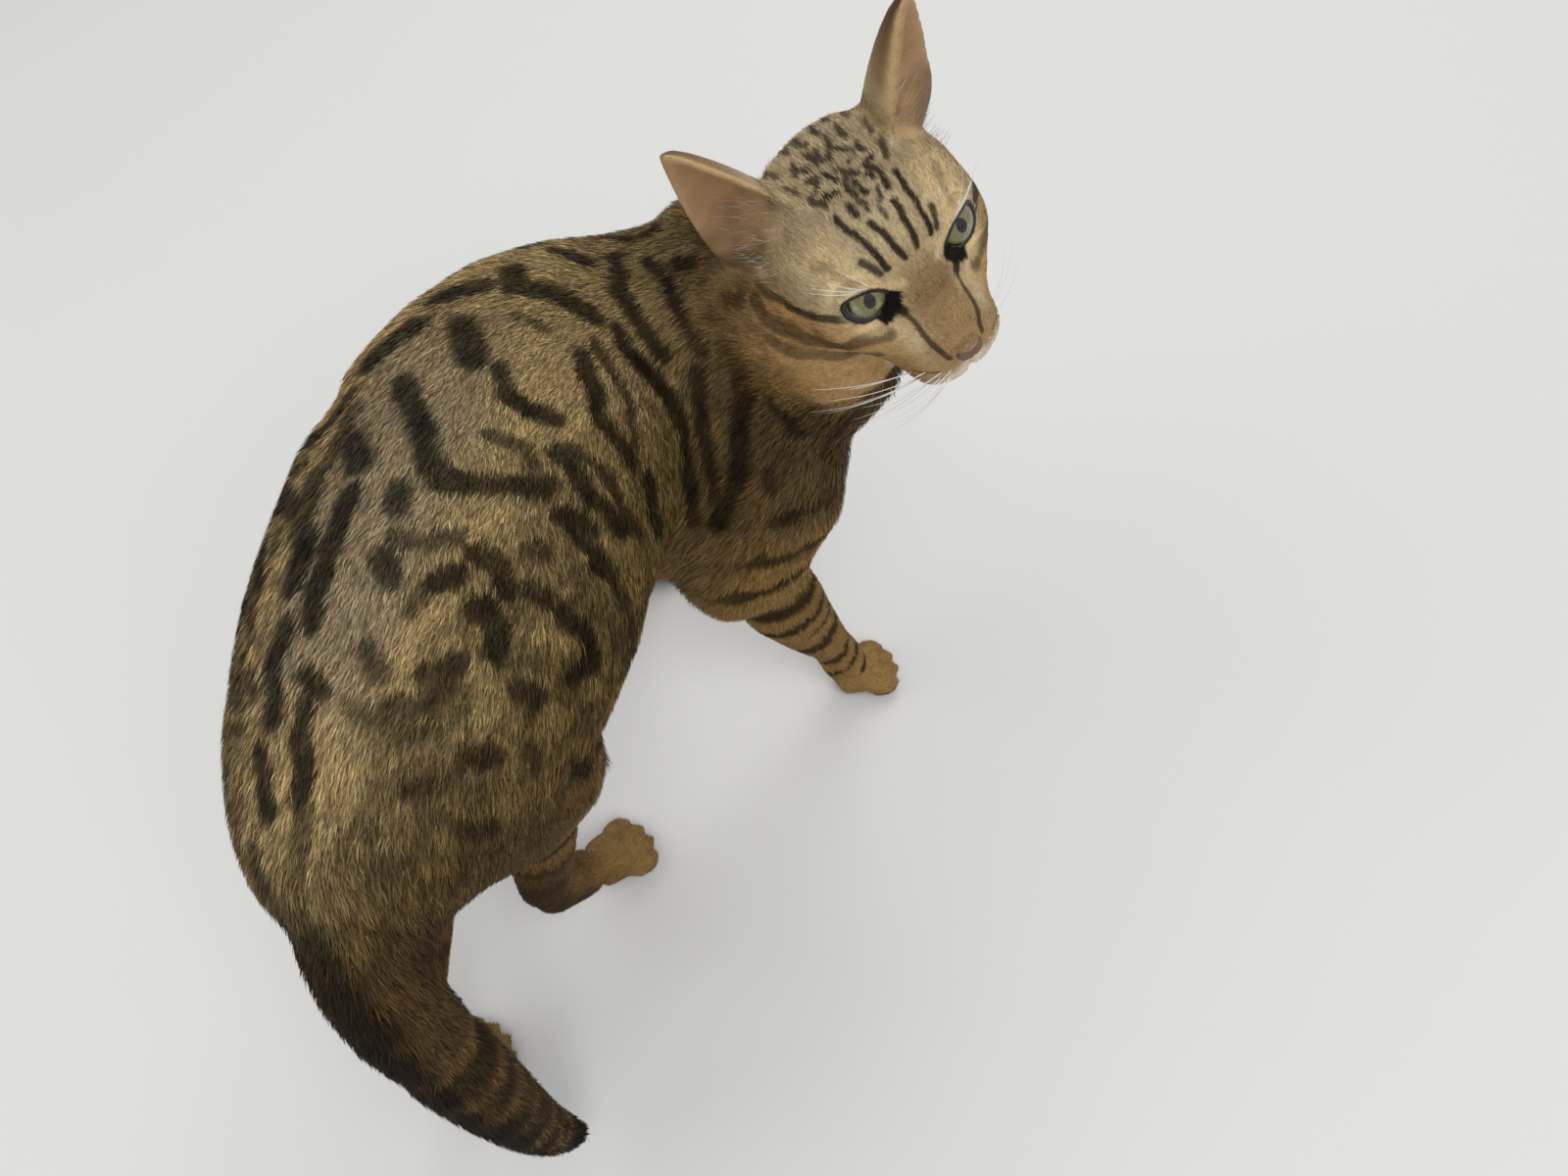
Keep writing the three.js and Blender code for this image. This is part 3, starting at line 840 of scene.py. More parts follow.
# Each mark is a line of (s, angle) places: millimetres along the spine from the rump, and degrees round it
# from the ridge of the back towards the right. Its width is in millimetres, and the last number says how
# dark it is.
BACK_MARKS = [
    ([(6, 16), (12, 10)], 3.0, 0.7), ([(16, 9), (24, 5), (32, 2)], 3.4, 1), ([(37, 1), (44, -1)], 3.2, 1),
    ([(52, 0), (61, -2)], 3.2, 1), ([(69, -3), (84, -6), (98, -8), (112, -10)], 3.8, 1),
    ([(118, -12), (129, -13)], 4.4, 1), ([(14, -8), (21, -11), (29, -14)], 3.2, 1),
    ([(40, -12), (52, -13)], 3.8, 1), ([(62, -14), (74, -16)], 3.8, 1), ([(84, -17), (96, -19)], 4.8, 1),
    ([(105, -21), (116, -25)], 4.4, 0.9), ([(128, -22), (142, -20)], 4.0, 0.8),
    ([(45, -29), (66, -36)], 2.6, 0.8), ([(80, -38), (92, -40)], 3.2, 0.8),
    ([(164, -19), (177, -15)], 6.4, 1), ([(200, -15), (211, -12)], 5.6, 1),
    ([(227, -12), (226, -4), (233, 6), (243, 17)], 4.6, 1), ([(248, -19), (262, -10)], 3.2, 1),
    ([(275, -28), (288, -18)], 2.6, 1), ([(300, -14), (320, 2)], 3.4, 1), ([(183, 1), (164, 9)], 5.0, 1),
    ([(150, -6), (134, 5), (122, 14)], 4.0, 1), ([(120, 18), (122, 24), (126, 29), (130, 40)], 4.2, 1),
    ([(162, 18), (154, 22), (150, 28), (152, 35)], 3.6, 1), ([(138, 25), (139, 33), (132, 38)], 2.8, 0.8),
    ([(231, 26), (206, 35), (178, 47), (181, 55), (173, 66)], 3.6, 1),
    ([(240, 29), (242, 41), (238, 52), (195, 63)], 2.6, 0.9),
    ([(144, 42), (141, 47), (139, 57), (138, 72)], 3.6, 1),
    ([(148, 46), (147, 56), (143, 67), (141, 77)], 2.6, 0.9), ([(183, 72), (160, 82), (157, 89)], 4.2, 1),
    ([(255, 20), (256, 30), (257, 43), (262, 59), (260, 77), (254, 97), (248, 140)], 4.0, 1),
    ([(276, -10), (265, 4), (267, 15), (268, 29), (272, 39)], 3.9, 1),
    ([(304, 6), (318, 23), (308, 33), (305, 44), (300, 58)], 3.5, 1), ([(330, 21), (339, 27)], 3.4, 1),
    ([(343, 41), (333, 55)], 3.0, 0.9), ([(285, 56), (275, 78), (266, 108), (259, 134)], 4.0, 0.9),
    ([(345, 52), (337, 70), (314, 92), (288, 110), (272, 127), (258, 139)], 5.4, 1),
    ([(340, 68), (341, 88), (325, 111), (316, 131)], 3.4, 0.9), ([(210, 13), (217, 16)], 2.4, 0.7),
    ([(126, 47), (127, 52), (128, 58)], 3.2, 1),
    ([(121, 52), (122, 57), (126, 65), (123, 71), (118, 64)], 3.0, 1),
    ([(107, 36), (102, 41), (99, 46)], 4.0, 1), ([(115, 44), (114, 51)], 3.0, 0.9),
    ([(100, 47), (103, 58)], 3.0, 0.9), ([(122, 76), (119, 86), (115, 110)], 2.8, 0.8),
    ([(290, 124), (284, 132)], 3.0, 0.8), ([(278, 136), (289, 140)], 3.0, 0.9),
    ([(292, 140), (304, 156)], 2.6, 0.9), ([(312, 149), (346, 147)], 2.4, 0.7),
    ([(117, 4), (110, 6)], 3.8, 0.9), ([(103, 12), (100, 15)], 3.4, 0.8), ([(97, 11), (90, 12)], 3.8, 0.9),
    ([(95, 26), (96, 30)], 4.2, 1), ([(107, 22), (108, 26)], 3.0, 0.8), ([(70, 17), (60, 19)], 3.2, 0.8),
    ([(66, 33), (69, 38)], 3.6, 0.9), ([(57, 26), (55, 35), (63, 40)], 2.8, 0.8),
    ([(90, 36), (90, 42), (85, 47), (77, 46)], 3.6, 1), ([(97, 62), (99, 73), (95, 78), (86, 71)], 3.2, 1),
    ([(74, 60), (71, 65)], 3.6, 0.9), ([(49, 53), (49, 61)], 3.4, 0.9), ([(61, 106), (71, 122)], 3.6, 0.9),
    ([(33, 42), (32, 48)], 3.4, 0.8), ([(123, 33), (129, 41)], 2.8, 0.9), ([(89, 26), (80, 23)], 2.6, 0.7),
    ([(48, 17), (47, 29), (52, 38)], 2.6, 0.7), ([(29, 64), (29, 80)], 2.8, 0.7),
    ([(58, 69), (58, 81)], 3.2, 0.8),
]

# Marks of the head, as places in its own frame in millimetres: right, forward and up. A mark for one side
# stands on the other side too.
HEAD_MARKS = [
    ([(4, 9, 17), (4.5, 0, 22), (6.5, -9, 25)], 1.4, 1),
    ([(11, 9, 15), (11.5, 0, 19), (13.5, -10, 22), (15, -19, 23)], 1.4, 1),
    ([(8, -14, 26), (9, -19, 26)], 1.5, 1), ([(9.5, -24, 26), (10.5, -29, 25)], 1.4, 1),
    ([(11, -34, 24), (12, -39, 23)], 1.4, 0.9), ([(16, -25, 22), (16.5, -32, 21)], 1.4, 0.9),
    ([(17, -38, 19), (18, -44, 16)], 1.4, 0.8), ([(0, -6, 24), (0, -11, 25)], 1.0, 0.8),
    ([(3.4, -13, 26), (3.8, -17, 26)], 1.2, 0.9), ([(0, -18, 26), (0, -23, 26)], 1.3, 1),
    ([(4.6, -22, 26), (5, -26, 26)], 1.3, 1), ([(0.5, -29, 26), (0, -34, 25)], 1.3, 0.9),
    ([(5, -31, 25), (5.6, -36, 25)], 1.3, 1), ([(6, -41, 23), (6.4, -47, 20)], 1.4, 0.9),
    ([(1.2, -40, 23), (1.4, -46, 20)], 1.3, 0.9), ([(11.5, -44, 21), (12, -50, 17)], 1.4, 0.9),
    ([(4, -52, 16), (4, -59, 9)], 1.5, 0.9), ([(10, -55, 12), (11, -61, 5)], 1.5, 0.9),
    ([(17, -50, 10), (18, -57, 2)], 1.6, 0.8), ([(13.5, 6, 13), (16.5, -2, 16)], 1.5, 0.9),
    ([(26, -8, 13), (29, -14, 12)], 2.2, 0.35), ([(22, 2, 11), (26, -6, 12)], 1.6, 0.35),
    ([(14, 8, 0), (12, 11, -2), (10.5, 14, -5)], 2.2, 1),
    ([(11, 14, -4), (10, 21, -10), (8.5, 28, -16), (6.5, 33, -20)], 1.2, 0.85),
    ([(30, 3, -2), (36, -6, -5), (40, -18, -9), (41, -32, -14)], 2.0, 0.9),
    ([(20, 15, -11), (28, 8, -14), (36, -4, -19), (40, -18, -24), (40, -30, -26)], 3.4, 0.7),
    ([(24, 14, -20), (31, 5, -25), (37, -8, -30), (38, -20, -34)], 2.8, 0.6),
    ([(11, 33, -24), (18, 28, -24)], 0.6, 0.7), ([(10, 34, -27), (18, 28, -28)], 0.6, 0.7),
    ([(10, 34, -30), (17, 28, -32)], 0.6, 0.6), ([(36, -40, -16), (34, -50, -22)], 2.4, 0.7),
    ([(32, -44, 2), (30, -54, -4)], 2.2, 0.6),
]

# Bars of a leg, by the share of the way from the body to the toes, then the half width in millimetres, the
# angle of their middle and how far round they go, in degrees.
LEG_BARS = {
    "fore": [
        (0.17, 3.0, 20, 70), (0.28, 3.4, 30, 90), (0.36, 3.2, 40, 80), (0.455, 4.2, 20, 150),
        (0.525, 4.0, 30, 110), (0.59, 2.4, -30, 60), (0.65, 4.2, 20, 110), (0.745, 3.0, 30, 90),
        (0.80, 2.4, 10, 120), (0.855, 2.0, -20, 80),
    ],
    "hind": [
        (0.24, 3.2, 0, 90), (0.33, 3.2, 30, 90), (0.42, 3.4, 20, 100), (0.50, 3.6, -10, 120),
        (0.58, 3.8, 10, 120), (0.66, 3.4, 30, 110), (0.74, 2.8, 20, 90),
    ],
}
RIDGE_EDGE = 14  # marks that begin further round than this, in degrees, are the right side's own
LEFT_SHIFT = 9.0  # how far on the left side repeats them, in millimetres and in degrees

# Rings of the tail: millimetres from its root, and their half widths.
TAIL_RINGS = [(70, 3.0), (94, 3.0), (119, 3.0), (143, 2.8), (166, 2.4), (184, 1.8), (195, 1.5)]
LEG_LENGTH = {end: LIMBS[f"{end}_right"].s[-1] for end in ("fore", "hind")}


def to_line(points, line):
    """The distance from each point to the nearest piece of a line through some places."""
    best = np.full(len(points), np.inf)
    for a, b in zip(line[:-1], line[1:]):
        step = b - a
        t = np.clip((points - a) @ step / max(step @ step, 1e-12), 0, 1)
        best = np.minimum(best, lengths_of(points - a - t[:, None] * step))
    return best


def inked(points, lines, edge):
    """How dark marks make each point: 1 within a mark's half width, 0 past 1 + edge of it."""
    ink = np.zeros(len(points))
    for line, width, strength in lines:
        reach = width * (1 + edge)
        near = np.all((points > line.min(axis=0) - reach) & (points < line.max(axis=0) + reach), axis=1)
        distance = to_line(points[near], line) / width
        ink[near] = np.maximum(ink[near], strength * (1 - smoothstep(1 - edge * 0.5, 1 + edge, distance)))
    return ink


def wavered(points, scale, size, seed):
    """Points moved by smooth noise, so that a mark's edge is uneven."""
    return points + size * np.stack([noise(points, scale, seed + k) for k in range(3)], axis=1)


def back_lines(sites):
    """The marks of the back as lines in space: each place is the skin's nearest site to its s and angle.
    The left side has the right side's marks a little further on."""
    s = sites.spine[:, 0] / MM
    angle = np.degrees(np.arctan2(sites.spine[:, 2], sites.spine[:, 1]))
    own = 60.0 * (1 - sites.owned("trunk"))
    right_marks = [mark for mark in BACK_MARKS if mark[0][0][1] > RIDGE_EDGE]
    lines = []
    for marks, sign, shift in ((BACK_MARKS, 1.0, 0.0), (right_marks, -1.0, LEFT_SHIFT)):
        for line, width, strength in marks:
            found = [np.argmin((s - at + shift) ** 2 + (sign * angle - turn - shift) ** 2 + own)
                     for at, turn in line]
            thin = 1.1 - 0.3 * smoothstep(235, 300, line[0][0])
            lines.append((sites.place[found], thin * width * MM, strength))
    return lines


def head_lines(sites):
    """The marks of the head as lines in space, on both sides, each place on the skin's nearest site."""
    near = sites.place[share_of(SKULL, sites.place) < 1.7]
    head = in_head(near)
    lines = []
    for line, width, strength in HEAD_MARKS:
        for side in (1, -1):
            places = curve(np.array(line, float) * [side, 1, 1], 3.0)
            found = [np.argmin(((head - place) ** 2).sum(axis=1)) for place in places]
            lines.append((near[found], 0.85 * width * MM, strength))
    return lines


def mix(first, second, share):
    """One colour going over into another, as first + (second - first) * share."""
    return first + (second - first) * share[:, None]


def layered(colours, *layers):
    """Colours with others laid over them in turn, each given with its share."""
    for over, share in layers:
        colours = mix(colours, over, share)
    return colours


class Grain:
    """Smooth noise of three sizes over some places, and the cells that make rosettes."""

    def __init__(self, place):
        self.uneven = wavered(place, 9 * MM, 1.5 * MM, SEED)
        self.fine = noise(place, 2.2 * MM, SEED + 20)
        self.medium = noise(place, 6.0 * MM, SEED + 21)
        self.broad = noise(place, 24.0 * MM, SEED + 22)
        small = noise(self.uneven, 6.5 * MM, SEED + 31)
        self.cells = noise(self.uneven, 12.5 * MM, SEED + 30) + 0.55 * small


def plain(colour, sites):
    """The same colour at every site."""
    return np.tile(colour, (len(sites.rows), 1))


def trunk_colour(sites, grain, lines):
    """The trunk and neck: paler towards the ridge, dusky at the rump, darker down the flanks to the belly by
    its own tone and by painted shade, painted shade over the shoulders and neck, with speckles, rosettes on
    the flanks, a grey saddle, and the drawn marks over all."""
    s = sites.spine[:, 0] / MM
    top = sites.spine[:, 1]
    medium, broad = grain.medium, grain.broad
    pale = layered(plain(PALE_FLANK, sites),
                   (PALE_BACK, smoothstep(0.25, 0.85, top)),
                   (LOW_FLANK, smoothstep(0.25, -0.45, top) * 0.75),
                   (BELLY, smoothstep(-0.5, -0.9, top) * 0.7),
                   (NECK_PALE, smoothstep(250, 300, s) * 0.7))
    rump = (1 - smoothstep(10, 100, s)) * (0.48 + 0.2 * medium)
    speckle = smoothstep(-0.1, 0.6, noise(grain.uneven, 4.6 * MM, SEED + 32) + 0.5 * broad)
    speckle = 0.42 * speckle * (1 - smoothstep(90, 160, s)) * (1 - 0.6 * smoothstep(0.86, 0.97, top))
    body = layered(pale * (1.0 + 0.18 * medium + 0.16 * broad)[:, None],
                   # darker down the flanks to the belly: partly the coat's own dusky tone, partly painted
                   # shade
                   (DUSK_AND_SHADE, smoothstep(0.85, 0.05, top) * (0.42 + 0.16 * medium)),
                   # painted shade over the shoulders and neck
                   (DUSK_AND_SHADE, smoothstep(190, 300, s) * (0.40 + 0.2 * medium)),
                   (DUSK_AND_SHADE, rump * smoothstep(1.04, 0.8, top)),
                   # more painted shade on the neck, under the turned head
                   (DUSK_AND_SHADE, smoothstep(290, 350, s) * (0.32 + 0.2 * medium)),
                   (DARK_FLANK, speckle))
    rear = 1 - smoothstep(95, 150, s)
    flank = smoothstep(0.93, 0.72, top)
    rim = bell(grain.cells - 0.12, 0.18)
    rosette = np.clip(0.80 * rim + 0.50 * smoothstep(-0.05, 0.5, grain.cells), 0, 1)
    dark = mix(plain(DARK_FLANK, sites), DARK_BACK, smoothstep(0.6, 0.95, top))
    softened = mix(dark, pale, np.full(len(s), 0.15))
    saddle = smoothstep(0.90, 0.985, top) * smoothstep(20, 70, s) * (1 - smoothstep(120, 230, s))
    return layered(body,
                   (softened, rosette * flank * (0.55 + 0.45 * rear) * 0.85),
                   (SMOKE, saddle * (0.55 + 0.2 * medium)),
                   (dark, inked(grain.uneven, lines, 0.45) * (0.90 + 0.10 * medium)))


def tail_colour(sites, grain, trunk):
    """The tail: dark along its outer side, ringed, with a black end, and its root like the trunk."""
    medium = grain.medium
    along = sites.tail[:, 0] / MM + 2.2 * medium
    outer = smoothstep(-0.15, 0.6, sites.tail @ [0.0, 0.85, 0.53] + 0.22 * medium)
    tail = mix(plain(TAIL_PALE, sites) * (1 + 0.2 * medium)[:, None], TAIL_DARK,
               np.clip(0.60 + 0.6 * outer + 0.25 * smoothstep(0.0, 0.5, grain.cells), 0, 0.97))
    rings = sum(bell(along - at, width) for at, width in TAIL_RINGS)
    rings = np.clip(rings, 0, 1) * (1 - 0.85 * outer) * (0.45 + 0.4 * smoothstep(150, 180, along))
    return layered(tail,
                   (TAIL_DARK, smoothstep(60, 200, along) * 0.55),
                   (TAIL_PALE, rings),
                   (TAIL_DARK, smoothstep(198, 205, along)),
                   (trunk, smoothstep(50, 5, along) * 0.7 * (1 - 0.7 * outer)))


def leg_colour(sites, grain):
    """The legs: barred, with pale paws, dark soles and toes, painted shade where the feet meet the floor,
    and on the hind legs a dusky shank and heel.
    Returned with the share of the way from the body to the toes."""
    place, medium = sites.place, grain.medium
    hind = sites.owned("fore_legs") <= sites.owned("hind_legs")
    angle = np.degrees(np.arctan2(sites.limb[:, 2], sites.limb[:, 1]))
    reach = np.where(hind, LEG_LENGTH["hind"], LEG_LENGTH["fore"]) / MM
    down = sites.limb[:, 0] / MM + 2.4 * noise(place, 11 * MM, SEED + 40) + 0.9 * medium
    share = down / reach
    leg = mix(plain(LEG_PALE, sites), PAW_PALE, smoothstep(0.7, 0.95, share)) * (1 + 0.12 * medium)[:, None]
    bars = np.zeros(len(place))
    for legs, end in ((~hind, "fore"), (hind, "hind")):
        for at, width, middle, span in LEG_BARS[end]:
            turn = np.abs((angle - middle + 180) % 360 - 180)
            thin = width * np.sqrt(np.clip(1 - (turn / span) ** 2, 0.0, 1))
            distance = np.abs(down - at * reach) / np.maximum(thin, 0.05)
            bars = np.maximum(bars, legs * (1 - smoothstep(0.7, 1.35, distance)))
    fading = np.where(hind, 1 - 0.75 * smoothstep(0.42, 0.62, share), 1.0)
    shank = 0.5 * hind * smoothstep(0.3, 0.5, share) * (1 - 0.8 * smoothstep(0.72, 0.84, share))
    heel = smoothstep(0.44, 0.58, share) * smoothstep(0.92, 0.78, share) * hind
    behind = smoothstep(-0.3, 0.5, sites.normal @ [0.0, 0.9, -0.4] + 0.15 * medium)
    toes = bell(np.abs(noise(place * [1, 1, 0.3], 5 * MM, SEED + 41)), 0.14) * smoothstep(0.86, 0.96, share)
    leg = layered(leg,
                  (DARK_FLANK, bars * 0.9 * fading),
                  (DARK_FLANK, 0.5 * smoothstep(0.35, 0.7, grain.cells) * smoothstep(0.45, 0.2, share)),
                  (DUSK_AND_SHADE, shank),
                  (HEAD_DARK, 0.72 * heel * behind),
                  # darker within 6.5 mm of the floor: the dark soles, and painted shade where the feet meet
                  # the floor
                  (HEAD_DARK, 0.8 * smoothstep(6.5, 3.5, place[:, 2] / MM)),
                  (HEAD_DARK, 0.25 * toes))
    return leg, share


def head_colour(sites, grain, lines):
    """The head: a pale face and muzzle, a brown nose and cheeks, painted shade in the hollow between the
    brows, the drawn marks, painted shade low on the back of the head behind the cheeks, the line of the
    lips, and a pale and then a black ring round each eye."""
    medium = grain.medium
    local = in_head(sites.place)
    x, y, z = local.T
    across = np.abs(x)
    temple = smoothstep(14, 22, across) * smoothstep(2, 9, z) * smoothstep(-26, -14, y)
    bridge = (1 - smoothstep(5, 20, across + 3 * medium)) * smoothstep(-6, 20, y)
    # painted shade in the hollow between the brows, where the bridge of the nose begins
    stop_shade = bell(lengths_of(np.column_stack([x, y - 15, z - 3]) / [9, 9, 9]), 1.0)
    under_eye = lengths_of(np.column_stack([across - 20, y - 11, z + 9]) / [11, 7, 3.2])
    pads = smoothstep(14, 24, y) * smoothstep(-14, -20, z) * smoothstep(4, 8, across)
    white = smoothstep(-23, -29, z) * smoothstep(14, 24, y) * (1 - smoothstep(12, 21, across)) * 0.9
    chin = smoothstep(-34, -39, z) * smoothstep(4, 16, y) * (1 - smoothstep(14, 23, across)) * 0.9
    head = layered(plain(CROWN, sites),
                   (CHEEK, smoothstep(2, -10, z) * smoothstep(12, 24, across) * 0.8),
                   (FACE_PALE, temple * 0.75),
                   (BRIDGE, bridge * smoothstep(-27, -17, z + medium) * 0.8),
                   (DUSK_AND_SHADE, stop_shade * (0.38 + 0.2 * medium)),
                   (FACE_PALE, bell(under_eye, 1.0) * 0.85),
                   (BRIDGE, pads * (0.5 + 0.25 * medium)),
                   (LOW_FLANK, smoothstep(-26, -40, z) * smoothstep(14, -6, y) * 0.6),
                   (MUZZLE, np.clip(white + chin, 0, 1)))
    uneven = wavered(sites.place, 5 * MM, 0.5 * MM, SEED + 50)
    crown = smoothstep(14, 20, z) * smoothstep(-14, -26, y) * (1 - smoothstep(16, 22, across))
    flecks = smoothstep(0.1, 0.5, noise(sites.place, 3.6 * MM, SEED + 54))
    cheek = 0.45 * smoothstep(24, 34, across) * smoothstep(0, -14, z)
    # painted shade low on the back of the head behind the cheeks, where it meets the neck
    nape_shade = smoothstep(-16, -38, y) * smoothstep(2, -18, z) * smoothstep(12, 28, across)
    lip = bell((z - mouth_height(across)) / 1.0, 1.0) * smoothstep(12, 24, y)
    head = layered(head * (1.0 + 0.12 * medium + 0.07 * grain.fine)[:, None],
                   (HEAD_DARK, 0.95 * inked(uneven, lines, 0.5)),
                   (HEAD_DARK, 0.18 * crown * flecks),
                   (CHEEK_DARK, cheek * smoothstep(0.0, 0.6, medium + 0.4 * grain.broad)),
                   (DUSK_AND_SHADE, nape_shade * (0.72 + 0.25 * medium)),
                   (HEAD_DARK, 0.85 * (lip * (1 - smoothstep(18, 24, across)))))
    for side in (-1, 1):
        distance, gap = around_lids(local - [side * EYE_X, 0, 0], side)
        black = (1 - smoothstep(4.5, 8.0, gap + 1.2 * medium)) * (distance < 16)
        pale = bell((gap - 14) / 7, 1.0) * (distance < 18) * 0.5
        head = layered(head, (FACE_PALE, pale), (EYE_LINE, black))
    return head


def ear_colour(sites, grain):
    """The ears: pale inside and along the rim, darker behind and at their roots, and painted shade deep in
    the hollow low inside each.
    """
    medium = grain.medium
    facing = sum(sites.owned(f"ear_{side}") * (sites.normal @ axis.up[0]) for side, axis in EARS.items())
    inside = smoothstep(-0.05, 0.25, facing)
    height = sites.ear[:, 0] / EARS["right"].s[-1]
    back = mix(plain(EAR_BACK, sites), CROWN, bell(height - 0.45, 0.22) * 0.6)
    back = mix(back, HEAD_DARK, 0.55 * smoothstep(0.75, 0.95, height) + 0.35 * smoothstep(0.25, 0.0, height))
    ear = mix(back, EAR_INSIDE, inside) * (1.0 + 0.10 * medium)[:, None]
    ear = mix(ear, EAR_RIM, 0.75 * bell(facing, 0.3))
    # painted shade in the hollow low inside the ear
    return mix(ear, HEAD_DARK, 0.62 * inside * smoothstep(0.42, 0.12, height + 0.05 * medium))


def marked(sites, lines):
    """The colour of the coat at each site, three linear numbers: the colours of the five parts, mixed by how
    much each of them owns the site. The top of each leg is coloured like the trunk."""
    grain = Grain(sites.place)
    trunk = trunk_colour(sites, grain, lines[0])
    leg, share = leg_colour(sites, grain)
    colours = [trunk, tail_colour(sites, grain, trunk), head_colour(sites, grain, lines[1]),
               ear_colour(sites, grain), leg]
    shares = sites.parts()
    upper = shares[-1] * smoothstep(0.30, 0.12, share)
    shares[0] = shares[0] + upper
    shares[-1] = shares[-1] - upper
    total = sum(colour * owned[:, None] for colour, owned in zip(colours, shares))
    return np.clip(total, DARKEST, 1.0)


# ------------------------------------------------------------------ tufts

def scattered(sites, triangles, density, seed):
    """Random places on the skin, as sites. Each takes one step of the running total of area times density,
    so that they are spread evenly, and mixes its triangle's corners by random shares."""
    corners = sites.place[triangles]
    area = lengths_of(np.cross(corners[:, 1] - corners[:, 0], corners[:, 2] - corners[:, 0])) / 2
    total = np.cumsum(area * density[triangles].mean(axis=1))
    rng = np.random.default_rng(seed)
    step = np.arange(int(total[-1]))
    face = np.searchsorted(total, step + rng.random(len(step)))
    u, v = rng.random((2, len(step)))
    flip = u + v > 1
    u, v = np.where(flip, 1 - u, u), np.where(flip, 1 - v, v)
    rows = sites.rows[triangles[np.minimum(face, len(triangles) - 1)]]
    return Sites(rows[:, 0] * (1 - u - v)[:, None] + rows[:, 1] * u[:, None] + rows[:, 2] * v[:, None])


def hair_size(sites):
    """The tufts' lengths and widths in metres, and how many stand on a square metre."""
    local = in_head(sites.place)
    limb = sites.limb[:, 0] / LIMBS["fore_right"].s[-1]
    down = smoothstep(0.15, 0.75, limb)
    back = smoothstep(28.0, -45.0, local[:, 1])
    inner_ear = sites.owned("ears") * smoothstep(0.0, 0.4, sites.ear[:, 1])
    tip = smoothstep(150 * MM, 215 * MM, sites.tail[:, 0])
    edge = 1 - 0.45 * bell(sites.ear[:, 1], 0.45)
    lengths = [6.6, 8.6 - 2.4 * tip, 2.2 + 2.6 * back, 2.2 * edge, 6.4 - 3.4 * down]
    widths = [0.47, 0.52, 0.24 + 0.12 * back, 0.22, 0.46 - 0.16 * down]
    counts = [1.48, 1.8, 3.8 - 1.0 * back, 3.0, 1.6 + 0.9 * down]
    length, width, count = (sum(part * value for part, value in zip(sites.parts(), values))
                            for values in (lengths, widths, counts))
    length = length * (1 + 0.35 * sites.owned("trunk") * smoothstep(-0.4, -0.9, sites.spine[:, 1]))
    count = count * (1 - 0.55 * inner_ear)
    bare = np.zeros(len(local), bool)
    for side in (-1, 1):
        distance, gap = around_lids(local - [side * EYE_X, 0, 0], side)
        bare |= (gap < 5.0) & (distance < BALL + 4)
    bare |= lengths_of((local - NOSE_AT - LEATHER_SHIFT) / [5.8, 5.2, 4.3]) < 1.02
    bare |= (sites.place[:, 2] < 4 * MM) & (sites.normal[:, 2] < -0.6)
    return length * MM, width * MM, np.where(bare, 0.0, count) * 1e6


# A tuft's blade: its faces, the place of each point along it, and the points' places on its own small piece
# of the unwrap.
BLADE_FACES = np.array([[0, 1, 3], [0, 3, 2], [2, 3, 4]])
BLADE_TIPS = [0, 0, 0.5, 0.5, 1.0]
BLADE_CORNERS = np.array([[-0.5, -0.5], [0.5, -0.5], [-0.4, 0.0], [0.4, 0.0], [0.0, 0.5]])
PATCH = 0.003  # the size of that piece
ROOT_DEPTH = 0.25  # how far a tuft's root lies under the skin, in millimetres
DARK_TUFTS = 0.24  # the share of the tufts that are darker than the rest


def tufts(roots, seed, colour):
    """The tufts that grow from sites: their points, faces and colours. A tuft is a narrow blade of five
    points. Its middle line goes along the lie of the hair and rises as 1 - (1 - t)^2 to a height below the
    coat's depth. Its length, turn, roll and rise each vary at random."""
    count = len(roots.rows)
    rng = np.random.default_rng(seed)
    length, width, _ = hair_size(roots)
    length = length * rng.uniform(0.7, 1.2, count)
    normal = unit(roots.normal)
    lie = laid(roots.lie, normal)
    side = np.cross(lie, normal)
    turn = rng.normal(0, 0.17, count) + 0.22 * noise(roots.place, 16 * MM, SEED + 60)
    lie = lie * np.cos(turn)[:, None] + side * np.sin(turn)[:, None]
    side = np.cross(lie, normal)
    roll = rng.normal(0, 0.45, count)
    across = side * np.cos(roll)[:, None] + normal * np.sin(roll)[:, None]
    rise = coat_depth(roots) * rng.uniform(0.2, 0.9, count) * (1 - 0.3 * roots.owned("head_and_ears"))
    root = roots.place - normal * ROOT_DEPTH * MM
    along = lie * length[:, None]
    up = normal * rise[:, None]
    half = across * (width * rng.uniform(0.7, 1.3, count) / 2)[:, None]
    middle = root + along * 0.5 + up * 0.75
    points = np.stack([root - half, root + half, middle - half * 0.75, middle + half * 0.75,
                       root + along + up], axis=1)
    points = np.clip(points, *inner_box(0.2))
    first = np.arange(count)[:, None, None] * len(BLADE_CORNERS)
    faces = (first + BLADE_FACES).reshape(-1, 3)
    loose = roots.owned("trunk_and_tail") + 0.5 * roots.owned("legs") + 0.35 * roots.owned("head")
    tone = np.maximum(rng.normal(1.0, 0.10 + 0.16 * loose, count), 0.3)
    warm = rng.normal(0, 0.035, count)
    shown = colour(roots.ahead(length * 0.55)) * tone[:, None] * (1 + warm[:, None] * [1, 0, -1])
    shown = mix(shown, DARK_FLANK, 0.6 * loose * (rng.random(count) < DARK_TUFTS))
    return points.reshape(-1, 3), faces, np.repeat(np.clip(shown, DARKEST, 1), len(BLADE_CORNERS), axis=0)


REGIONS = ["rump", "flank", "shoulder", "neck", "face", "crown", "ears", "tail", "fore_right", "fore_left",
           "hind_right", "hind_left"]
FACE, CROWN_REGION, EAR_REGION, TAIL_REGION, FIRST_LEG = range(4, 9)  # their places in REGIONS
CUTS = np.array([92, 178, 262]) * MM  # where the trunk's regions meet, along the spine


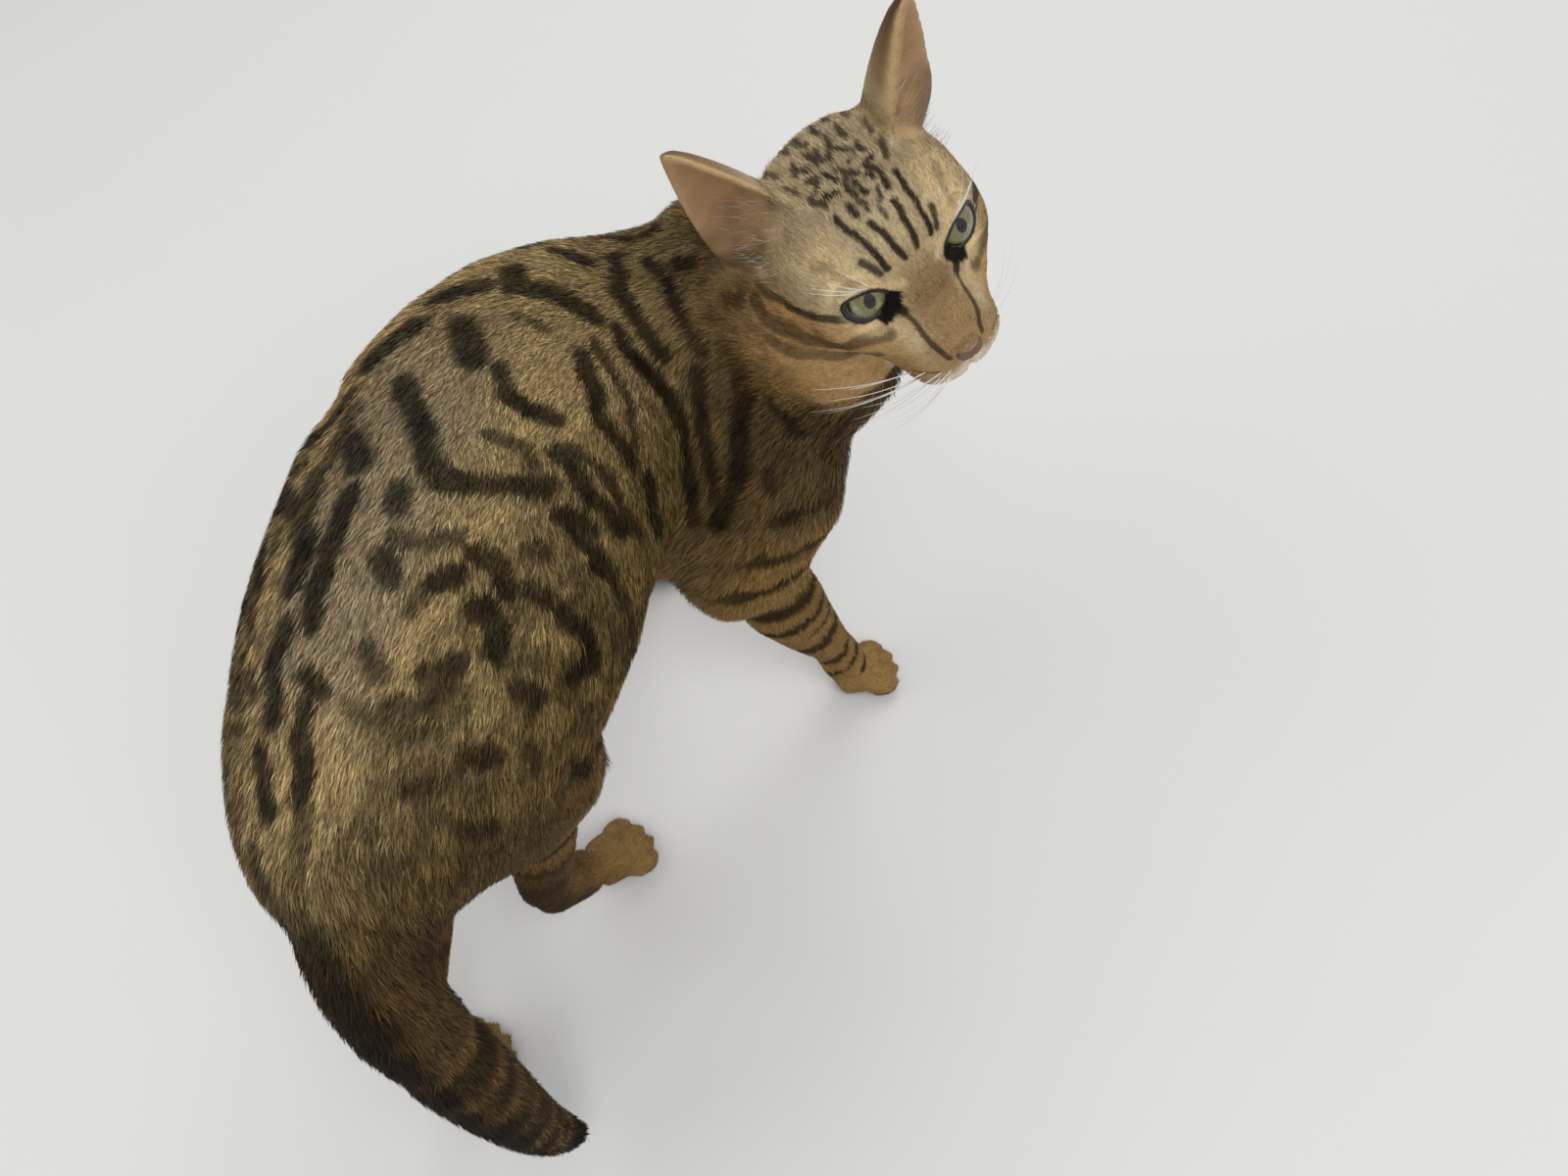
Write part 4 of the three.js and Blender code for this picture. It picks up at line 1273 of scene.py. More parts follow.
def region_of(sites):
    """The number of the region that each site belongs to, and its place on that region's own unwrap: the
    angle round its axis and the way along it, each from 0 to 1. The two ears lie side by side."""
    owner = np.argmax(sites.weight, axis=1)
    local = in_head(sites.place)
    trunk = np.digitize(sites.spine[:, 0], CUTS)
    head = np.where(local[:, 1] > -6, FACE, CROWN_REGION)
    region = np.select([owner == 0, owner == 1, owner == 2, owner <= 4],
                       [trunk, TAIL_REGION, head, EAR_REGION], owner + FIRST_LEG - 5)

    def around(side, up):
        return np.arctan2(side, up) / (2 * math.pi) + 0.5

    u = around(sites.spine[:, 2], sites.spine[:, 1])
    low = np.append(0.0, CUTS)[trunk]
    high = np.append(CUTS, SPINE.s[-1])[trunk]
    v = (sites.spine[:, 0] - low) / (high - low)
    for here, column, axis in ((region == TAIL_REGION, sites.tail, TAIL),
                               (region == EAR_REGION, sites.ear, EARS["right"]),
                               (region >= FIRST_LEG, sites.limb, LIMBS["fore_right"])):
        u = np.where(here, around(column[:, 2], column[:, 1]), u)
        v = np.where(here, column[:, 0] / axis.s[-1], v)
    u = np.where(region == EAR_REGION, u / 2 + 0.5 * (owner == 4), u)
    for number, behind, length in ((FACE, 8, 52), (CROWN_REGION, 75, 75)):
        u = np.where(region == number, around(local[:, 0], local[:, 2] + 14.0), u)
        v = np.where(region == number, (local[:, 1] + behind) / length, v)
    return region, np.column_stack([np.clip(u, 0.002, 0.998), np.clip(v, 0.002, 0.998)])


FIELDS = {1: ("FLOAT", "value"), 3: ("FLOAT_VECTOR", "vector"), 4: ("FLOAT_COLOR", "color")}


def give_points(mesh, name, values):
    """A named attribute of a mesh's points, with a number, a vector or a colour for each."""
    values = np.asarray(values, np.float32)
    kind, field = FIELDS[values.size // len(values)]
    mesh.attributes.new(name, kind, "POINT").data.foreach_set(field, values.ravel())


def give_colours(mesh, colours):
    """The attribute that hair materials read their colour from."""
    give_points(mesh, "Colour", np.column_stack([colours, np.ones(len(colours))]))


def give_unwrap(mesh, places):
    """A UV map named OFBake from one place for each point."""
    index = np.empty(len(mesh.loops), np.int32)
    mesh.loops.foreach_get("vertex_index", index)
    layer = mesh.uv_layers.new(name="OFBake")
    layer.data.foreach_set("uv", np.asarray(places, np.float32)[index].ravel())


# ------------------------------------------------------------------ eyes, lids, nose and whiskers

def strips(index):
    """The triangles between the rows of a grid of point numbers that closes on itself along its columns."""
    on = np.roll(index, -1, axis=1)
    quads = np.stack([index[:-1], on[:-1], on[1:], index[1:]], axis=-1).reshape(-1, 4)
    return np.concatenate([quads[:, [0, 1, 2]], quads[:, [0, 2, 3]]])


def turned_grid(rows, columns):
    """The faces of a grid that closes on itself along its columns, with each end row run together to a
    point. Its points are rows times columns, and then the two poles."""
    index = np.arange(rows * columns).reshape(rows, columns)
    on = np.roll(index, -1, axis=1)
    south, north = rows * columns, rows * columns + 1
    first = np.stack([np.full(columns, south), on[0], index[0]], axis=1)
    last = np.stack([np.full(columns, north), index[-1], on[-1]], axis=1)
    return np.concatenate([strips(index), first, last])


def grid_angles(rows, columns):
    """The row's own value and the angle round, for each point of a grid of that many columns."""
    turns = np.linspace(0, 2 * math.pi, columns, endpoint=False)
    return (grid.ravel() for grid in np.meshgrid(rows, turns, indexing="ij"))


def ball_angles(rings, columns):
    """The angle from the pole and the angle round, for each point of a ball and then for its two poles."""
    ring, turn = grid_angles(rings, columns)
    return np.append(ring, [0.0, math.pi]), np.append(turn, [0.0, 0.0])


def ways_round(forward, right, upward, ring, turn):
    """Unit directions at an angle from forward, turned round it from right towards upward: forward cos
    ring + right sin ring cos turn + upward sin ring sin turn."""
    return (forward * np.cos(ring)[:, None] + right * (np.sin(ring) * np.cos(turn))[:, None]
            + upward * (np.sin(ring) * np.sin(turn))[:, None])


IRIS_EDGE = 46.0  # degrees from the eyeball's pole to the edge of the iris
GAZE_YAW = 9.0
GAZE_PITCH = 40.0
PUPIL = (12.0, 17.0)  # half sizes in degrees across and up
EYE_COLUMNS = 96
LID_COLUMNS = 220
NOSE_COLUMNS = 128


def eyeball(side):
    """A ball round the line of sight: latitude rings from its pole at the middle of the cornea to the back.
    The cornea rises a little, by 0.30 mm times the bell of the angle. Returned with the iris's own
    coordinates: the angle from the pole as a share of the iris, the same for the pupil's oval, and a way
    round it for its fibres."""
    forward = direction(GAZE_YAW, GAZE_PITCH, side)
    right = unit(np.cross(forward, [0, 0, 1.0]))
    upward = np.cross(right, forward)
    rings = np.radians(np.concatenate([np.linspace(1.5, 60, 40), np.linspace(64, 177, 26)]))
    ring, turn = ball_angles(rings, EYE_COLUMNS)
    radius = BALL - 0.32 + 0.30 * bell(np.degrees(ring), 34.0)
    ways = ways_round(forward, right, upward, ring, turn)
    points = from_head(np.array([side * EYE_X, 0, 0]) + ways * radius[:, None])
    degrees = np.degrees(ring)
    oval = degrees * np.hypot(np.cos(turn) / PUPIL[0], np.sin(turn) / PUPIL[1])
    fibre = np.column_stack([np.cos(turn), np.sin(turn), degrees / IRIS_EDGE])
    return points, turned_grid(len(rings), EYE_COLUMNS), degrees / IRIS_EDGE, oval, fibre


# The section of a lid's rim: degrees past the edge of the opening, and height over the ball in millimetres.
LID_PROFILE = np.array([(-1.6, -0.6), (-1.2, 0.05), (-0.4, 0.35), (1.0, 0.6), (3.0, 0.72), (5.0, 0.6),
                        (6.2, 0.3), (6.8, -0.6)])


def eyelids(side):
    """A rim round the opening of one eye: a rounded profile of (degrees past the rim, height over the
    ball in millimetres), carried round the opening's own outline."""
    middle, outward, upward = lid_axes(side)
    profile = curve(np.column_stack([LID_PROFILE, np.zeros_like(LID_PROFILE)]), 0.8)
    gap, turn = grid_angles(profile[:, 0], LID_COLUMNS)
    height = np.repeat(profile[:, 1], LID_COLUMNS)
    ways = ways_round(middle, outward, upward, np.radians(lid_rim(turn) + gap), turn)
    points = from_head(np.array([side * EYE_X, 0, 0]) + ways * (BALL + height)[:, None])
    index = np.arange(len(points)).reshape(-1, LID_COLUMNS)
    triangles = strips(np.concatenate([index, index[:1]]))
    return points, triangles if side > 0 else triangles[:, ::-1]


def nose_leather():
    """A ball stretched to 5.7, 3.6 and 4.2 mm, wider above than below. Two comma-shaped hollows are its
    nostrils, and a groove runs down its middle."""
    rings = np.radians(np.linspace(2, 178, 72))
    ring, turn = ball_angles(rings, NOSE_COLUMNS)
    x, y, z = np.sin(ring) * np.cos(turn), np.cos(ring), np.sin(ring) * np.sin(turn)
    wide = 1.0 + 0.22 * z - 0.16 * smoothstep(-0.1, -0.9, z)
    places = np.column_stack([5.7 * x * wide, 3.6 * y, 4.2 * z])
    across, height = np.abs(places[:, 0]), places[:, 2]
    front = smoothstep(-0.1, 0.5, y)
    bend = -0.8 - 0.10 * (across - 1.8) ** 2 + 0.35 * (across - 3.0)
    comma = bell((across - 3.4) / 1.7, 1.0) * bell((height - bend) / 0.75, 1.0)
    # hole shapes the nostrils and is also where the material paints their shade nearly black
    hole = smoothstep(0.25, 0.85, comma) * front
    groove = bell(places[:, 0] / 0.55, 1.0) * smoothstep(1.6, -0.6, height) * front
    wing = bell(np.hypot(across - 4.5, height + 0.6), 1.5) * front
    places[:, 1] += -2.2 * hole - 0.5 * groove + 0.4 * wing
    places[:, 1] -= 0.9 * smoothstep(1.0, 4.2, height) * front
    places = NOSE_AT + [0, 0.6, LEATHER_SHIFT[2]] + places
    return from_head(places), turned_grid(len(rings), NOSE_COLUMNS), hole


def hairs(roots, ways, droops, lengths, thickness, sides=5, steps=12):
    """Tapered hairs: root + way * length * t + droop * length * t^2, with a round section whose radius
    falls as (1 - t)^0.7."""
    t = np.linspace(0, 1, steps)
    path = (roots[:, None] + ways[:, None] * (lengths[:, None] * t)[..., None]
            + droops[:, None] * (lengths[:, None] * t ** 2)[..., None])
    tangent = unit(np.gradient(path, axis=1))
    first = unit(np.cross(tangent, SKY + [0.1, 0.05, 0]))
    second = np.cross(tangent, first)
    radius = (thickness / 2)[:, None] * np.maximum(1 - t, 0.02) ** 0.7
    turns = np.linspace(0, 2 * math.pi, sides, endpoint=False)
    circle = (first[:, :, None] * np.cos(turns)[:, None] + second[:, :, None] * np.sin(turns)[:, None])
    points = path[:, :, None] + circle * radius[:, :, None, None]
    index = np.arange(steps * sides).reshape(steps, sides)
    fan = range(1, sides - 1)
    triangles = np.concatenate([strips(index), [[index[0, 0], index[0, k + 1], index[0, k]] for k in fan],
                                [[index[-1, 0], index[-1, k], index[-1, k + 1]] for k in fan]])
    faces = (triangles[None] + np.arange(len(roots))[:, None, None] * steps * sides).reshape(-1, 3)
    return points.reshape(-1, 3), faces


# ------------------------------------------------------------------ materials

def node(tree, kind, inputs=None, **settings):
    """A shader node with its settings, and its inputs given by name or number as values or as links."""
    made = tree.nodes.new(kind)
    for key, value in settings.items():
        setattr(made, key, value)
    for key, value in (inputs or {}).items():
        if isinstance(value, bpy.types.NodeSocket):
            tree.links.new(value, made.inputs[key])
        else:
            made.inputs[key].default_value = value
    return made


def group_of(name, inputs, outputs):
    """An empty node group with named sockets, its input node and its output node."""
    tree = bpy.data.node_groups.new(name, "ShaderNodeTree")
    for label, kind, default in inputs:
        socket = tree.interface.new_socket(label, in_out="INPUT", socket_type=kind)
        if default is not None:
            socket.default_value = default
    for label, kind in outputs:
        tree.interface.new_socket(label, in_out="OUTPUT", socket_type=kind)
    return tree, tree.nodes.new("NodeGroupInput"), tree.nodes.new("NodeGroupOutput")


def hair_group():
    """The look of short banded hair. The colour falls to a darker root and has a faint pale band before
    its tip, and fine noise varies it. The height is streaks for a bump."""
    name = "Banded hair"
    if name in bpy.data.node_groups:
        return bpy.data.node_groups[name]
    tree, given, out = group_of(
        name, [("Colour", "NodeSocketColor", (0.5, 0.5, 0.5, 1)), ("Tip", "NodeSocketFloat", 1.0),
               ("Root shade", "NodeSocketFloat", 0.5), ("Grain", "NodeSocketFloat", 900.0)],
        [("Colour", "NodeSocketColor"), ("Height", "NodeSocketFloat")])
    given = given.outputs
    fine = clouds(tree, given["Grain"], 3.0)

    def ranged(value, low, high, first, last):
        return node(tree, "ShaderNodeMapRange", {"Value": value, "From Min": low, "From Max": high,
                                                 "To Min": first, "To Max": last}).outputs[0]

    band = ranged(given["Tip"], 0.0, 0.45, given["Root shade"], 1.0)
    tip = ranged(given["Tip"], 0.72, 1.0, 1.08, 0.9)
    grain = ranged(fine, 0.3, 0.7, 0.86, 1.14)
    first = node(tree, "ShaderNodeMath", {0: band, 1: tip}, operation="MULTIPLY")
    second = node(tree, "ShaderNodeMath", {0: first.outputs[0], 1: grain}, operation="MULTIPLY")
    shaded = node(tree, "ShaderNodeVectorMath", {0: given["Colour"], 1: second.outputs[0]},
                  operation="MULTIPLY")
    tree.links.new(shaded.outputs[0], out.inputs["Colour"])
    tree.links.new(fine, out.inputs["Height"])
    return tree


def new_material(name, roughness, **sockets):
    """A material with its Principled BSDF, cleared of the rest."""
    material = bpy.data.materials.new(name)
    material.use_nodes = True
    tree = material.node_tree
    tree.nodes.clear()
    shader = node(tree, "ShaderNodeBsdfPrincipled", {"Roughness": roughness, **sockets})
    node(tree, "ShaderNodeOutputMaterial", {"Surface": shader.outputs["BSDF"]})
    return material, tree, shader


def own_place(tree):
    """The place on the piece itself, in metres."""
    return node(tree, "ShaderNodeTexCoord").outputs["Object"]


def attribute(tree, name, output="Fac"):
    """What a named attribute of the piece says."""
    return node(tree, "ShaderNodeAttribute", attribute_name=name).outputs[output]


def clouds(tree, scale, detail):
    """Smooth noise from 0 to 1 over the piece."""
    inputs = {"Vector": own_place(tree), "Scale": scale, "Detail": detail}
    return node(tree, "ShaderNodeTexNoise", inputs).outputs["Fac"]


def mixed_colour(tree, share, first, second):
    """A colour that goes over from the first to the second by a share."""
    mixed = node(tree, "ShaderNodeMix", {"Factor": share, "A": first, "B": second}, data_type="RGBA")
    return mixed.outputs["Result"]


def bumped(tree, shader, height, strength, distance):
    """Gives a shader a bump of that height."""
    bump = node(tree, "ShaderNodeBump", {"Height": height, "Strength": strength, "Distance": distance})
    tree.links.new(bump.outputs["Normal"], shader.inputs["Normal"])


def hair_material(name, root_shade, grain, bump):
    """Hair that reads its colour from the attribute Colour, and how far it is from its root from Tip."""
    material, tree, shader = new_material(name, 0.62, **{"Specular IOR Level": 0.1})
    group = node(tree, "ShaderNodeGroup", node_tree=hair_group())
    tree.links.new(attribute(tree, "Colour", "Color"), group.inputs["Colour"])
    tree.links.new(attribute(tree, "Tip"), group.inputs["Tip"])
    group.inputs["Root shade"].default_value = root_shade
    group.inputs["Grain"].default_value = grain
    tree.links.new(group.outputs["Colour"], shader.inputs["Base Color"])
    bumped(tree, shader, group.outputs["Height"], bump, 0.0004)
    return material


def whisker_material():
    """Smooth horn, its white a little clouded."""
    material, tree, shader = new_material("whisker", 0.35, **{"Specular IOR Level": 0.5, "Coat Weight": 0.2})
    base = mixed_colour(tree, clouds(tree, 260.0, 2.0), (0.78, 0.75, 0.68, 1), (0.95, 0.94, 0.90, 1))
    tree.links.new(base, shader.inputs["Base Color"])
    return material


def iris_material(iris, inner):
    """An iris of radial fibres from a yellower ring at the pupil to a dark edge, with a white of the eye
    behind it. Round is the angle from the pole as a share of the iris, Oval the same for the pupil, and
    Fibre turns with the angle round the pole."""
    material, tree, shader = new_material("eye", 0.2, **{"Specular IOR Level": 0.3, "Coat Weight": 0.6,
                                                          "Coat Roughness": 0.02, "IOR": 1.38})
    round_value = attribute(tree, "Round")
    fibre = attribute(tree, "Fibre", "Vector")
    stretched = node(tree, "ShaderNodeMapping", {"Vector": fibre, "Scale": (9.0, 9.0, 1.6)})
    streaks = node(tree, "ShaderNodeTexNoise", {"Vector": stretched.outputs[0], "Scale": 1.6, "Detail": 6.0,
                                                "Roughness": 0.7})

    def ramped(value, low, high):
        return node(tree, "ShaderNodeMapRange", {"Value": value, "From Min": low, "From Max": high},
                    interpolation_type="SMOOTHSTEP").outputs[0]

    base = mixed_colour(tree, ramped(round_value, 0.35, 0.85), (*inner, 1), (*iris, 1))
    dark = mixed_colour(tree, 0.5, (*iris, 1), (0.02, 0.022, 0.01, 1))
    pale = mixed_colour(tree, 0.45, (*iris, 1), (0.75, 0.75, 0.50, 1))
    for share, over in (
            (ramped(streaks.outputs["Fac"], 0.42, 0.68), dark),
            (ramped(clouds(tree, 190.0, 3.0), 0.55, 0.8), pale),
            (ramped(round_value, 0.84, 0.99), (0.012, 0.012, 0.008, 1)),  # the iris's dark edge
            (ramped(round_value, 1.03, 1.12), (0.10, 0.085, 0.07, 1)),  # the white of the eye
            (ramped(attribute(tree, "Oval"), 1.08, 0.96), (0.002, 0.002, 0.002, 1))):  # the pupil
        base = mixed_colour(tree, share, base, over)
    tree.links.new(base, shader.inputs["Base Color"])
    return material


def leather_material(name, colour, rim, roughness):
    """Moist pebbled skin: small cells for the bump, and painted shade, nearly black, where the Hollow
    attribute says, as in the nostrils.
    """
    material, tree, shader = new_material(name, roughness, **{
        "Specular IOR Level": 0.45, "Coat Weight": 0.15, "Coat Roughness": 0.3})
    cells = node(tree, "ShaderNodeTexVoronoi", {"Vector": own_place(tree), "Scale": 2100.0})
    base = mixed_colour(tree, clouds(tree, 330.0, 3.0), (*colour, 1), (*rim, 1))
    # painted shade, nearly black, in the hollows
    deep = mixed_colour(tree, attribute(tree, "Hollow"), base, (0.01, 0.007, 0.006, 1))
    tree.links.new(deep, shader.inputs["Base Color"])
    bumped(tree, shader, cells.outputs["Distance"], 0.5, 0.00025)
    return material


def floor_material(colour):
    """A plain matt floor, its shade varied by one or two parts in a hundred."""
    material, tree, shader = new_material("pale floor", 0.75, **{"Specular IOR Level": 0.2})
    darker = tuple(0.985 * value for value in colour)
    base = mixed_colour(tree, clouds(tree, 3.0, 4.0), (*colour, 1), (*darker, 1))
    tree.links.new(base, shader.inputs["Base Color"])
    return material


# ------------------------------------------------------------------ the pieces

CACHE = {}


def the_skin():
    """The skin's sites, triangles and marks, worked out once."""
    if "skin" not in CACHE:
        sites, triangles = skin_shape()
        CACHE["skin"] = sites, triangles, (back_lines(sites), head_lines(sites))
    return CACHE["skin"]


def finish_piece(piece, material, slot, *replaced):
    """Gives a piece its material, and says what it rides on and which nodes it replaces. The slot is not
    used.
    """
    piece.data.materials.append(material)
    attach(piece, "root")
    if replaced:
        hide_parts(*replaced)


def colour_property(name, description, colour):
    """A setting for a colour, given as three linear numbers."""
    return bpy.props.FloatVectorProperty(name=name, description=description, size=3, min=0, max=1,
                                         subtype="COLOR", default=tuple(colour))


class CatCoatSettings(bpy.types.PropertyGroup):
    """Sizes of the coat."""
    density: bpy.props.FloatProperty(
        name="Density", description="Tufts, as a share of the usual number",
        default=1.0, min=0.02, max=1.0, subtype="FACTOR")
    seed: bpy.props.IntProperty(name="Seed", description="Start of the coat's random numbers", default=SEED)


class CatFaceSettings(bpy.types.PropertyGroup):
    """Colours of the eyes and nose, and the size of the whiskers."""
    iris: colour_property("Iris", "Colour of the iris", shade("#6d7149"))
    inner_iris: colour_property("Inner iris", "Colour of the iris at the pupil", shade("#7f7a45"))
    nose: colour_property("Nose", "Colour of the nose leather", shade("#7e5d47"))
    nose_dark: colour_property("Nose rim", "Darker colour of the nose leather", shade("#4f382c"))
    whisker: bpy.props.FloatProperty(
        name="Whisker", description="Thickness of a whisker at its root",
        default=0.00044, min=0.0001, max=0.001, subtype="DISTANCE", unit="LENGTH")


class CatStageSettings(bpy.types.PropertyGroup):
    """The floor, the lamps and the camera."""
    floor: colour_property("Floor", "Colour of the floor", (0.84, 0.84, 0.83))
    lens: bpy.props.FloatProperty(
        name="Lens", description="Focal length of the camera on a sensor 36 mm wide",
        default=27.05, min=10, max=120)
    lamp: bpy.props.FloatProperty(
        name="Lamps", description="Power of the largest lamp in watts", default=27.0, min=0)


class CAT_OT_skin(bpy.types.Operator):
    """Builds the one skin of the cat in place of its solids of flesh"""
    bl_idname = "cat.skin"
    bl_label = "Skin"

    def execute(self, context):
        sites, triangles, lines = the_skin()
        piece = mesh_object("skin", sites.place, triangles)
        give_colours(piece.data, marked(sites, lines))
        give_points(piece.data, "Tip", np.full(len(sites.rows), 0.5))
        finish_piece(piece, hair_material("short down", 0.6, 1500.0, 0.55), "coat", *FLESH)
        return {"FINISHED"}


class CAT_OT_coat(bpy.types.Operator):
    """Grows the tufts of the coat from the skin, one piece for each region of the body"""
    bl_idname = "cat.coat"
    bl_label = "Coat"

    def execute(self, context):
        settings = context.scene.cat_coat
        sites, triangles, lines = the_skin()
        roots = scattered(sites, triangles, hair_size(sites)[2] * settings.density, settings.seed)
        region, places = region_of(roots)
        material = hair_material("coat hair", 0.42, 700.0, 0.15)
        for number, name in enumerate(REGIONS):
            here = Sites(roots.rows[region == number])
            points, faces, colours = tufts(here, settings.seed + number, lambda at: marked(at, lines))
            piece = mesh_object(f"coat_{name}", points, faces)
            give_colours(piece.data, colours)
            give_points(piece.data, "Tip", np.tile(BLADE_TIPS, len(here.rows)))
            spots = places[region == number][:, None] + BLADE_CORNERS * PATCH
            give_unwrap(piece.data, spots.reshape(-1, 2))
            finish_piece(piece, material, "coat")
        return {"FINISHED"}


class CAT_OT_eyes(bpy.types.Operator):
    """Builds both eyeballs with their irises, and the rims of the eyelids"""
    bl_idname = "cat.eyes"
    bl_label = "Eyes and eyelids"

    def execute(self, context):
        settings = context.scene.cat_face
        material = iris_material(settings.iris, settings.inner_iris)
        lid = leather_material("eyelid rim", shade("#0f0b09"), shade("#1c1511"), 0.6)
        for name, side in (("right", 1), ("left", -1)):
            points, faces, round_value, oval, fibre = eyeball(side)
            piece = mesh_object(f"eyeball_{name}", points, faces)
            give_points(piece.data, "Round", round_value)
            give_points(piece.data, "Oval", oval)
            give_points(piece.data, "Fibre", fibre)
            finish_piece(piece, material, "eye", f"eye_{name}")
            points, faces = eyelids(side)
            rim = mesh_object(f"eyelids_{name}", points, faces)
            give_points(rim.data, "Hollow", np.zeros(len(points)))
            finish_piece(rim, lid, "nose_leather")
        return {"FINISHED"}


class CAT_OT_nose(bpy.types.Operator):
    """Builds the nose leather with its nostrils"""
    bl_idname = "cat.nose"
    bl_label = "Nose"

    def execute(self, context):
        settings = context.scene.cat_face
        points, faces, hollow = nose_leather()
        piece = mesh_object("nose_leather", points, faces)
        # Hollow: the nostrils, which the material paints nearly black as shade
        give_points(piece.data, "Hollow", hollow)
        leather = leather_material("nose leather", settings.nose, settings.nose_dark, 0.42)
        finish_piece(piece, leather, "nose_leather", "nose")
        return {"FINISHED"}


EAR_HAIRS = 70
FINE_HAIR = 0.3  # how thick the ears' hairs are, as a share of a whisker


def face_hairs(rng):
    """Four rows of whiskers on each side and four hairs over each eye. Each hair is its root, its way, its
    droop and its length, in the head's frame and in millimetres."""
    found = []
    for side in (-1, 1):
        for row in range(4):
            for column in range(4 if row in (1, 2) else 3):
                root = [side * (8.5 + 2.4 * column + 0.4 * row), 36.0 - 3.0 * column, -24.5 - 2.5 * row]
                way = np.array([side * 1.0, 0.16 - 0.18 * column, -0.04 - 0.15 * row])
                way = unit(way + rng.normal(0, 0.05, 3))
                droop = [side * -0.10, -0.30, -0.16 - 0.03 * row]
                found.append((root, way, droop, rng.uniform(26, 34) + 7.0 * column))
        for k in range(4):
            root = [side * (17.0 + 2.0 * k), 7.5 - 1.2 * k, 13.5]
            way = unit(np.array([side * (0.3 + 0.15 * k), 0.25, 1.0]) + rng.normal(0, 0.06, 3))
            found.append((root, way, [side * 0.15, -0.45, -0.05], rng.uniform(20, 28)))
    return found


def ear_hairs(rng, sites):
    """Long hairs from the front edge of each ear's opening, given as the hairs of the face are."""
    found = []
    local = in_head(sites.place)
    for side, name in ((1, "right"), (-1, "left")):
        axis = EARS[name]
        opens, along = axis.up[0], axis.along[0]
        front = local[:, 0] * side < in_head(axis.points[:1])[0, 0] * side + 4
        height = (sites.place - axis.points[0]) @ along / MM
        edge = (sites.owned(f"ear_{name}") > 0.5) & front & (height > 2) & (height < 26)
        for index in rng.choice(np.flatnonzero(edge & (sites.normal @ opens > 0.1)), EAR_HAIRS):
            way = HEAD_AXES @ (along * 0.9 + opens * 0.22 + HEAD_RIGHT * side * 0.22)
            way = unit(way + rng.normal(0, 0.12, 3))
            found.append((local[index], way, [side * 0.12, -0.15, 0.0], rng.uniform(6, 11)))
    return found


def shortened(roots, ways, droops, lengths):
    """The hairs' lengths, each made a twentieth less, again and again, until the hair lies inside the box of
    the solids."""
    low, high = inner_box(1.2)
    for _ in range(60):
        inside = np.ones(len(roots), bool)
        for t in (0.25, 0.5, 0.75, 1.0):
            at = roots + (ways * t + droops * t * t) * lengths[:, None]
            inside &= np.all((at > low) & (at < high), axis=1)
        lengths = np.where(inside, lengths, lengths * 0.95)
    return lengths


class CAT_OT_whiskers(bpy.types.Operator):
    """Sets the whiskers, the hairs of the brows and the long hairs inside the ears"""
    bl_idname = "cat.whiskers"
    bl_label = "Whiskers"

    def execute(self, context):
        rng = np.random.default_rng(SEED)
        sites = the_skin()[0]
        found = face_hairs(rng)
        thick = len(found)
        found += ear_hairs(rng, sites)
        roots, ways, droops, lengths = (np.array(column, float) for column in zip(*found))
        thickness = np.where(np.arange(len(found)) < thick, 1.0, FINE_HAIR) * context.scene.cat_face.whisker
        head = in_head(sites.place[share_of(SKULL, sites.place) < 1.6])
        roots = from_head([head[np.argmin(lengths_of(head - place))] for place in roots])
        ways, droops, lengths = ways @ HEAD_AXES, droops @ HEAD_AXES, lengths * MM
        lengths = shortened(roots, ways, droops, lengths)
        points, faces = hairs(roots, ways, droops, lengths, thickness)
        piece = mesh_object("whiskers", np.clip(points, *inner_box(0.1)), faces)
        finish_piece(piece, whisker_material(), "coat")
        return {"FINISHED"}


VIEW_FROM = (-0.21096, 0.21065, 0.590)
VIEW_ALONG = (0.3038, -0.5179, -0.7997)
VIEW_LEAN = math.radians(10.2)
FLOOR_REACH = 4.0
AIM = np.array([-0.02, -0.02, 0.18])  # the place that the lamps point at

# Each lamp's name, place, width, and its power as a share of the largest one's.
LAMPS = [("key", (-1.3, 0.9, 2.1), 1.6, 1.0), ("fill", (1.7, 1.0, 1.5), 2.0, 0.42),
         ("back", (0.3, -1.9, 1.7), 1.6, 0.5)]


def area_lamp(name, place, width, power):
    """A square lamp at a place, turned towards AIM."""
    data = bpy.data.lights.new(name, "AREA")
    data.size = width
    data.energy = power
    lamp = bpy.data.objects.new(name, data)
    lamp.location = place
    lamp.rotation_mode = "QUATERNION"
    lamp.rotation_quaternion = mathutils.Vector(unit(AIM - np.array(place))).to_track_quat("-Z", "Y")
    return lamp


def plain_world():
    """A plain surround: soft light on the cat, and white where the camera sees it or its mirror image."""
    world = bpy.data.worlds.new("plain")
    world.use_nodes = True
    tree = world.node_tree
    tree.nodes.clear()
    ray = node(tree, "ShaderNodeLightPath").outputs
    seen = ray["Is Camera Ray"]
    for other in ("Is Glossy Ray", "Is Transmission Ray"):
        seen = node(tree, "ShaderNodeMath", {0: seen, 1: ray[other]}, operation="MAXIMUM").outputs[0]
    soft = node(tree, "ShaderNodeBackground", {"Color": (1, 1, 1, 1), "Strength": 0.42})
    white = node(tree, "ShaderNodeBackground", {"Color": (1, 1, 1, 1), "Strength": 1.0})
    both = node(tree, "ShaderNodeMixShader", {0: seen, 1: soft.outputs[0], 2: white.outputs[0]})
    node(tree, "ShaderNodeOutputWorld", {"Surface": both.outputs[0]})
    return world


